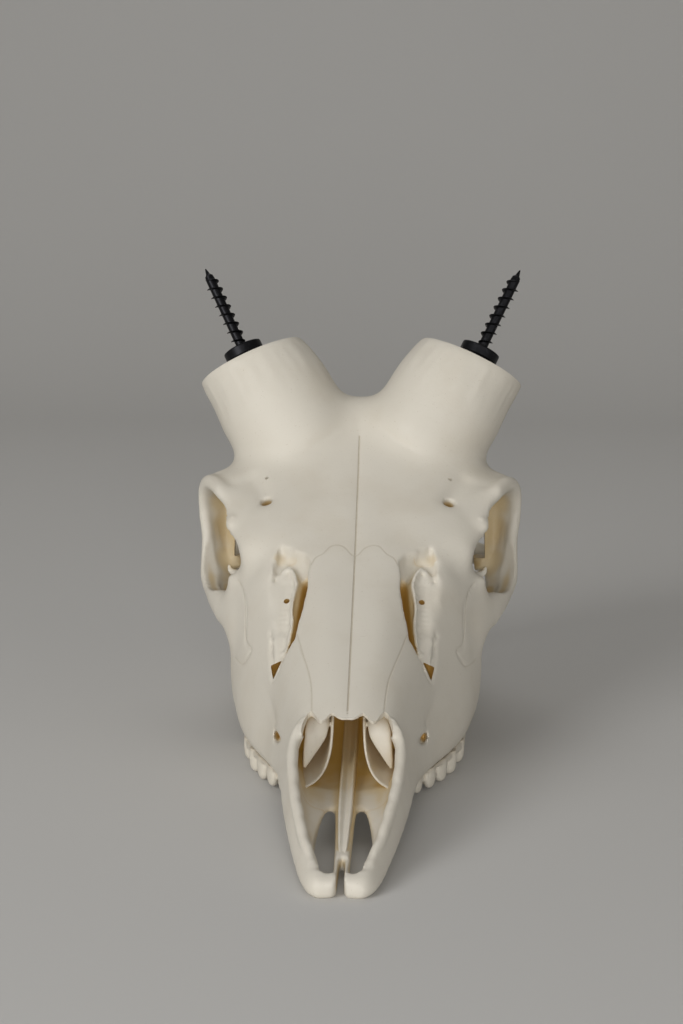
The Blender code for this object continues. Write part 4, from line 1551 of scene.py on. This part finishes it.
@dataclass(frozen=True)
class CastTooth:
    """The same resin on the teeth, darker between the lobes and near the gum.

    Attributes:
        crown: The colour of the crowns.
        neck: The colour near the gum.
    """

    crown: Colour = (0.70, 0.65, 0.55, 1)
    neck: Colour = (0.46, 0.37, 0.24, 1)

    def make(self) -> bpy.types.Material:
        """Builds the material.

        Returns:
            The material.
        """
        graph = Graph("tooth_cast")
        _, _, up = graph.place().parts()
        clouds = graph.noise(160.0, 4.0)
        low = (up * 1000.0 + (clouds - 0.5) * 3.0).between(5.5, 9.5)
        tone = graph.mix(low * 0.45, self.crown, self.neck)
        tone = graph.mix(graph.attribute("crevice", "Fac").between(0.0, 0.8) * 0.7, tone, self.neck)
        graph.feed(graph.shader.inputs["Base Color"], tone)
        graph.feed(graph.shader.inputs["Roughness"], 0.32 + clouds * 0.2)
        graph.feed(graph.shader.inputs["Normal"], graph.bump(graph.noise(900.0, 3.0), 0.0004, 0.10))
        return graph.material


@dataclass(frozen=True)
class BlackSteel:
    """Black oxide on steel, worn a little where it is rubbed.

    Attributes:
        name: The material's name.
        oxide: The colour of the oxide.
        rubbed: The colour where it is worn.
        wear: The share of the wear that shows.
    """

    name: str = "black_oxide"
    oxide: Colour = (0.016, 0.016, 0.018, 1)
    rubbed: Colour = (0.034, 0.034, 0.039, 1)
    wear: float = 0.6

    def make(self) -> bpy.types.Material:
        """Builds the material.

        Returns:
            The material.
        """
        graph = Graph(self.name)
        patches = graph.noise(900.0, 4.0)
        rub = patches.between(0.5, 0.75)
        graph.feed(graph.shader.inputs["Base Color"], graph.mix(rub * self.wear, self.oxide, self.rubbed))
        graph.feed(graph.shader.inputs["Roughness"], 0.30 + patches * 0.2)
        graph.feed(graph.shader.inputs["Normal"], graph.bump(graph.noise(2600.0, 3.0), 0.0001, 0.2))
        graph.shader.inputs["Metallic"].default_value = 0.85
        return graph.material


@dataclass(frozen=True)
class Paper:
    """Pale studio paper for the floor and backdrop.

    Attributes:
        colour: Its colour.
    """

    colour: Colour = (0.62, 0.61, 0.59, 1)

    def make(self) -> bpy.types.Material:
        """Builds the material.

        Returns:
            The material.
        """
        graph = Graph("studio_paper")
        shade = graph.mix(graph.noise(3.0, 2.0) * 0.15, self.colour, (0.56, 0.55, 0.53, 1))
        graph.feed(graph.shader.inputs["Base Color"], shade)
        graph.shader.inputs["Roughness"].default_value = 0.9
        return graph.material


# The smaller pieces


class Tooth(NamedTuple):
    """One cheek tooth of the upper jaw.

    Attributes:
        back: How far back its middle is.
        half: The distance of its middle from the middle plane.
        lobes: How many lobes it has, one behind another.
        width: How wide it is, from the tongue's side to the cheek's.
        gum: How high the gum's edge is on its cheek side.
        tip: How high its tip is.
    """

    back: float
    half: float
    lobes: int
    width: float
    gum: float
    tip: float = 0.0


@dataclass
class ToothRow:
    """The left row of cheek teeth, joined at the gum.

    Attributes:
        teeth: The six teeth, from the front.
        lobe_step: The distance from a lobe to the next of the same tooth.
        sides: Corners of a lobe's section.
    """

    teeth: tuple[Tooth, ...] = (Tooth(98, 20.4, 1, 6.6, 7.2, 2.0), Tooth(108, 24, 1, 8.2, 6.9, 0.8),
                                Tooth(118, 27.4, 1, 9.4, 6.2), Tooth(129.5, 29.8, 2, 11.2, 5.2),
                                Tooth(143, 32.4, 2, 11.8, 4.4), Tooth(156.5, 33.4, 2, 11.2, 4.2))
    lobe_step: float = 6.4
    sides: int = 28

    def lobe(self, tooth: Tooth, back: float, reach: float, hand: int) -> bpy.types.Object:
        """One cusp of a lobe, on the cheek's side or the tongue's.

        Args:
            tooth: The tooth it belongs to.
            back: The place of its middle along the jaw.
            reach: Half its length along the jaw.
            hand: 1 for the cheek's side, -1 for the tongue's.

        Returns:
            The closed cusp.
        """
        tip = tooth.tip + (0.0 if hand > 0 else 0.7)
        stops = [(tip, 0.3), (tip + 0.3, 0.55), (tip + 1.0, 0.8), (tip + 2.2, 0.96), (5.0, 1.04),
                 (GUM_UP - 0.3, 1.0)]
        rings = []
        for up, swell in stops:
            middle = tooth.half + hand * tooth.width * (0.23 + 0.05 * (1 - swell))
            ring = []
            for step in range(self.sides):
                angle = math.tau * step / self.sides
                ribs = 1.0 + 0.07 * math.cos(3 * angle) * min(1.0, up / 3.0)
                ring.append(place(middle + tooth.width * 0.27 * swell * ribs * math.cos(angle),
                                  back + reach * swell * ribs * math.sin(angle), up))
            rings.append(ring)
        return drawn_out("lobe", rings)

    def make(self) -> bpy.types.Object:
        """Builds the row.

        Returns:
            The left row.
        """
        cusps = []
        for tooth in self.teeth:
            reach = 5.2 if tooth.lobes == 1 else 4.0
            for k in range(tooth.lobes):
                back = tooth.back + (k - (tooth.lobes - 1) / 2) * self.lobe_step
                cusps += [self.lobe(tooth, back, reach, hand) for hand in (1, -1)]
        inner = [(tooth.half - 2.4, tooth.back, 4.0) for tooth in self.teeth]
        outer = [(tooth.half + 2.4, tooth.back, 4.0) for tooth in self.teeth]
        cusps.append(prism("gum_line", inner + outer[::-1], (0, 0, GUM_UP - 0.3 - 4.0)))
        top = GUM_UP - 0.3
        tall = [(top - tooth.gum) / 2 for tooth in self.teeth]
        skirt = [(tooth.half + tooth.width * 0.51 + 0.3 - half * 0.7, tooth.back, top - half)
                 for tooth, half in zip(self.teeth, tall)]
        cusps.append(sweep("gum_skirt", skirt, tall, flat=0.7))
        row = fuse(gather("cast_teeth_left", cusps), FINE_VOXEL, 2)
        self.mark(row)
        return row

    def dress(self) -> None:
        """Builds the row on each side and gives it its material."""
        enamel = CastTooth().make()
        row = self.make()
        for node, piece in (("teeth_left", row), ("teeth_right", twin(row))):
            dress_piece(piece, node, enamel)

    def mark(self, row: bpy.types.Object) -> None:
        """Records how deep between lobes each point of the row is.

        Args:
            row: The row.
        """
        surface = Surface(row)
        before = surface.points.copy()
        surface.ease([((tooth.half, tooth.back, 4.0), 20.0) for tooth in self.teeth], 12)
        inward = np.einsum("ij,ij->i", surface.points - before, surface.normals)
        store = row.data.attributes.new("crevice", "FLOAT", "POINT")
        store.data.foreach_set("value", np.clip(inward * 4.0, 0, 1).astype(np.float32))


@dataclass
class NoseBones:
    """The thin bones inside the nose: a turbinate on each side, and the vomer along the middle of the floor.

    Attributes:
        sheet: The thickness of the turbinate's scroll.
        reach: How far back the scroll runs.
    """

    sheet: float = 0.9
    reach: float = 30.0

    def turbinate(self) -> bpy.types.Object:
        """Builds the left turbinate: a rounded leaf in front of a scroll that holds it like a cup.

        Returns:
            The left turbinate.
        """
        leaf = sweep("leaf", [(9, 81, 35.4), (9.5, 77, 32), (10.3, 74.8, 28.5), (11.1, 74, 25.8),
                              (12.1, 73.4, 23), (13.1, 72.9, 20), (13.9, 72.5, 17.4)],
                     [2.6, 3.5, 3.7, 3.1, 2.3, 1.4, 0.5], flat=0.42, wide=(1, -0.25, 0))
        back_leaf = sweep("back_leaf", [(9.6, 92, 34), (8.8, 82, 32.4), (8.2, 77.4, 29.6), (8.4, 76, 26.4)],
                          [2.4, 2.4, 1.9, 0.6], flat=0.4, wide=(1, 0, 0))
        front = flow([(5.0, 80, 36), (5.0, 77, 31), (5.6, 73, 23), (7.4, 69, 17.8), (10.0, 65.5, 15.2),
                      (12.8, 62.5, 14.2), (15.4, 58.5, 12.6)], 5)
        rings = []
        for k, point in enumerate(front):
            ahead = (front[min(k + 1, len(front) - 1)] - front[max(k - 1, 0)]).normalized()
            thick = ahead.cross(Vector((0.1, 1, 0.25))).normalized() * self.sheet / 2
            rear = point + Vector((2.4, self.reach, 8 - 0.2 * k))
            nose = point - Vector((0, self.sheet / 2, 0))
            rings.append([place(*(point - thick)), place(*(nose - thick * 0.5)), place(*(nose + thick * 0.5)),
                          place(*(point + thick)), place(*(rear + thick)), place(*(rear - thick))])
        scroll = drawn_out("scroll", rings)
        return fuse(gather("cast_turbinate_left", [leaf, back_leaf, scroll]), FINE_VOXEL, 3)

    def vomer(self) -> bpy.types.Object:
        """Builds the vomer: a trough between two ridges that run together at the front.

        Returns:
            The vomer.
        """
        stops = [(22.6, 4.4, 5.9, 0.9), (28, 5.0, 8.0, 1.5), (38, 5.8, 10.4, 1.9), (50, 7.2, 12.8, 2.3),
                 (80, 11, 17.6, 2.5), (116, 16.6, 23.4, 2.6)]
        rings = []
        for back, low, top, half in flow_stops(stops, 5):
            trough = top - min(1.7, half * 0.55)
            outline = [(-half * 1.1, low), (half * 1.1, low), (half, (low + top) / 2),
                       (half * 0.96, top - 0.5), (half * 0.74, top), (half * 0.5, top - 0.4),
                       (half * 0.12, trough), (-half * 0.12, trough), (-half * 0.5, top - 0.4),
                       (-half * 0.74, top), (-half * 0.96, top - 0.5), (-half, (low + top) / 2)]
            rings.append([place(side, back, up) for side, up in outline])
        return fuse(gather("cast_vomer", [drawn_out("vomer", rings)]), FINE_VOXEL, 2)

    def make(self) -> dict[str, bpy.types.Object]:
        """Builds the three bones, each under the name of the node that it stands for."""
        turbinate = self.turbinate()
        return {"turbinate_left": turbinate, "turbinate_right": twin(turbinate), "vomer": self.vomer()}


def flow_stops(stops: Sequence[Sequence[float]], steps: int) -> list[list[float]]:
    """Rows of numbers with smooth steps put in between them."""
    columns = [[p.x for p in flow([(value, 0, 0) for value in column], steps)] for column in zip(*stops)]
    return [list(row) for row in zip(*columns)]


@dataclass
class Fastening:
    """The collar and the wood screw on the left pedicle's seat.

    Attributes:
        offset: How far outward of the seat's middle they stand.
        collar_radius: The collar's radius.
        collar_height: Its height over the seat.
        length: How far the screw stands out of the collar.
        point: The length of its bare point.
        core: The radius of its core.
        ridge: How far its thread stands out.
        pitch: The distance from one turn to the next.
    """

    offset: float = 0.6
    collar_radius: float = 7.5
    collar_height: float = 6.2
    length: float = 33.4
    point: float = 4.6
    core: float = 1.8
    ridge: float = 1.15
    pitch: float = 3.7

    def stand(self, made: bpy.types.Object) -> bpy.types.Object:
        """Moves a piece that was made upright at the origin onto the left seat.

        Args:
            made: The piece.

        Returns:
            The same piece.
        """
        outward = Vector((1, 0, 0)) - SEAT_AXIS * SEAT_AXIS.x
        foot = SEAT + outward.normalized() * self.offset
        turn = SEAT_AXIS.to_track_quat("Z", "Y").to_matrix().to_4x4()
        made.data.transform(Matrix.Translation(place(*foot)) @ turn)
        return made

    def round_rings(self, profile: Sequence[tuple[float, float]], sides: int) -> list[Ring]:
        """Rings about the upright axis, one for each radius and height of a profile."""
        return [[Vector((radius * math.cos(math.tau * k / sides), radius * math.sin(math.tau * k / sides),
                         up)) * MM
                 for k in range(sides)] for radius, up in profile]

    def collar(self) -> bpy.types.Object:
        """Builds the collar, a plain drum with soft edges.

        Returns:
            The left collar.
        """
        low = 0.3 - SEAT_CUT
        top = self.collar_height
        radius = self.collar_radius
        neck = radius - 0.8
        profile = [(neck, low), (neck, top - 4.0), (neck + 0.2, top - 3.8), (radius - 0.2, top - 3.7),
                   (radius, top - 3.5), (radius, top - 0.5), (radius - 0.12, top - 0.18),
                   (radius - 0.45, top - 0.02), (radius - 1.0, top), (self.core + 0.9, top),
                   (self.core + 0.5, top - 0.3)]
        return self.stand(drawn_out("cast_collar_left", self.round_rings(profile, 96)))

    def screw(self) -> bpy.types.Object:
        """Builds the screw: a core that ends in a bare point, with a thread wound round it.

        Returns:
            The left screw.
        """
        foot = self.collar_height - 0.2
        tip = self.collar_height + 0.3 + self.length
        shank = tip - self.point
        profile = [(self.core, foot), (self.core, foot + 4), (self.core * 0.98, shank),
                   (self.core * 0.86, shank + 1.4), (self.core * 0.45, tip - 2.4),
                   (self.core * 0.16, tip - 0.3), (self.core * 0.05, tip)]
        core = drawn_out("core", self.round_rings(profile, 32))
        screw = gather("cast_screw_left", [core, self.thread(foot + 1.4, shank + 0.6)])
        return self.stand(screw)

    def thread(self, start: float, end: float) -> bpy.types.Object:
        """Winds the thread.

        Args:
            start: The height where it starts.
            end: The height where it runs out.

        Returns:
            The closed ridge.
        """
        bm = bmesh.new()
        profile = [(self.core * 0.7, 0.55), (self.core * 0.7, -0.55), (self.core + self.ridge - 0.12, -0.12),
                   (self.core + self.ridge, 0.0), (self.core + self.ridge - 0.12, 0.12)]
        corners = [bm.verts.new(Vector((radius, 0, start + up)) * MM) for radius, up in profile]
        face = bm.faces.new(corners)
        turns = (end - start) / self.pitch
        steps = int(turns * 40)
        rise = Vector((0, 0, (end - start) * MM / steps))
        bmesh.ops.spin(bm, geom=[face], cent=(0, 0, 0), axis=(0, 0, 1), dvec=rise, angle=math.tau * turns,
                       steps=steps, use_duplicate=False)
        for vertex in bm.verts:
            up = vertex.co.z / MM
            grow = min(1.0, (up - start + 0.6) / 2.2, (end + 0.6 - up) / 3.0)
            radius = vertex.co.xy.length / MM
            if radius > self.core:
                share = (self.core * 0.8 + (radius - self.core * 0.8) * max(grow, 0.05)) / radius
                vertex.co.x *= share
                vertex.co.y *= share
        return settle("thread", bm)

    def dress(self) -> None:
        """Builds the collar and screw on each side and gives them their material."""
        steel = BlackSteel().make()
        for part, made in (("collar", self.collar()), ("screw", self.screw())):
            for side, piece in ((Side.LEFT, made), (Side.RIGHT, twin(made))):
                dress_piece(piece, f"{part}_{side.word}", steel, 34.0)


# The studio


@dataclass
class Studio:
    """The pale floor that turns up into a backdrop, the lights and the camera.

    Attributes:
        azimuth: The camera's turn to the animal's left of straight ahead, in degrees.
        elevation: How far it looks down, in degrees.
        roll: Its roll, in degrees.
        eye: Its place.
        lens: Its focal length, in millimetres.
    """

    azimuth: float = 2.0
    elevation: float = 10.0
    roll: float = 0.09
    eye: Place = (20.68, -581.43, 215.62)
    lens: float = 75.0

    def sweep_paper(self) -> bpy.types.Object:
        """Makes the floor and the backdrop in one sheet.

        Returns:
            The sheet.
        """
        bm = bmesh.new()
        ends = [bm.verts.new((side, -1.6, 0)) for side in (-2.4, 2.4)]
        edge = bm.edges.new(ends)
        path = [(0.9, 0.0)] + [(0.9 + 0.6 * math.sin(a), 0.6 - 0.6 * math.cos(a))
                               for a in (math.radians(9 * k) for k in range(1, 11))] + [(1.5, 2.6)]
        here = Vector((0, -1.6, 0))
        for back, up in path:
            made = bmesh.ops.extrude_edge_only(bm, edges=[edge])["geom"]
            edge = next(item for item in made if isinstance(item, bmesh.types.BMEdge))
            there = Vector((0, back, up))
            bmesh.ops.translate(bm, vec=there - here, verts=edge.verts[:])
            here = there
        paper = settle("studio_sheet", bm)
        for polygon in paper.data.polygons:
            polygon.use_smooth = True
        paper.data.materials.append(Paper().make())
        return paper

    def light(self, name: str, spot: Place, size: float, watts: float, aim: Place = (0, 0, 0.06)) -> None:
        """Hangs a soft square light.

        Args:
            name: The light's name.
            spot: Where it hangs, in metres.
            size: Its side, in metres.
            watts: Its power.
            aim: Where it points, in metres.
        """
        lamp = bpy.data.lights.new(name, "AREA")
        lamp.size = size
        lamp.energy = watts
        made = bpy.data.objects.new(name, lamp)
        made.location = spot
        made.rotation_mode = "QUATERNION"
        made.rotation_quaternion = (Vector(aim) - Vector(spot)).to_track_quat("-Z", "Y")
        bpy.context.scene.collection.objects.link(made)

    def lights(self) -> None:
        """Hangs the lights, with the key at the upper left, and sets a soft grey world."""
        self.light("key", (-0.95, -1.12, 0.64), 0.7, 10.8)
        self.light("front", (0.08, -1.35, 0.24), 0.4, 5.8)
        self.light("fill", (1.2, -1.1, 0.5), 1.0, 1.8)
        self.light("top", (-0.1, 0.6, 1.35), 0.9, 2.4)
        world = bpy.data.worlds.new("soft_grey")
        world.use_nodes = True
        sky = world.node_tree.nodes["Background"]
        sky.inputs["Color"].default_value = (1.0, 0.97, 0.92, 1)
        sky.inputs["Strength"].default_value = 0.17
        bpy.context.scene.world = world
        bpy.context.scene.view_settings.view_transform = "Standard"

    def camera(self) -> None:
        """Sets up the camera at the photograph's place."""
        turn, tip, roll = (math.radians(angle) for angle in (self.azimuth, self.elevation, self.roll))
        back = Vector((math.sin(turn) * math.cos(tip), -math.cos(turn) * math.cos(tip), math.sin(tip)))
        right = (-back).cross(Vector((0, 0, 1))).normalized()
        up = right.cross(-back)
        level = right * math.cos(roll) + up * math.sin(roll)
        high = up * math.cos(roll) - right * math.sin(roll)
        stand = Matrix((level, high, back)).transposed().to_4x4()
        stand.translation = place(*self.eye)
        data = bpy.data.cameras.new("camera")
        data.lens = self.lens
        data.sensor_width = 36.0
        made = bpy.data.objects.new("camera", data)
        made.matrix_world = stand
        bpy.context.scene.collection.objects.link(made)
        bpy.context.scene.camera = made


# Finishing the pieces


def dress_piece(made: bpy.types.Object, node: str, material: bpy.types.Material,
                crease: float = 40.0) -> None:
    """Gives a piece its material and says what it stands for.

    Args:
        made: The piece.
        node: The CAD node that it replaces.
        material: Its material.
        crease: The angle from which an edge shows as an edge, in degrees.
    """
    made.name = "cast_" + node
    made.data.name = made.name
    made.data.materials.clear()
    made.data.materials.append(material)
    made.data.polygons.foreach_set("use_smooth", [True] * len(made.data.polygons))
    made.data.set_sharp_from_angle(angle=math.radians(crease))
    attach(made, "root")
    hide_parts(node)
    triangles = sum(len(polygon.vertices) - 2 for polygon in made.data.polygons)
    log.info("%s: %d triangles", made.name, triangles)


def main() -> None:
    """Builds and dresses every piece, and sets up the studio."""
    logging.basicConfig(level=logging.INFO, format="%(message)s")
    studio = Studio()
    studio.sweep_paper()
    studio.lights()
    studio.camera()
    cast = CastSkull()
    skull, hull = cast.body()
    log.info("skull body: %d faces", len(skull.data.polygons))
    cast.dress(NoseBones().make(), skull, hull)
    ToothRow().dress()
    Fastening().dress()


if __name__ == "__main__":
    main()
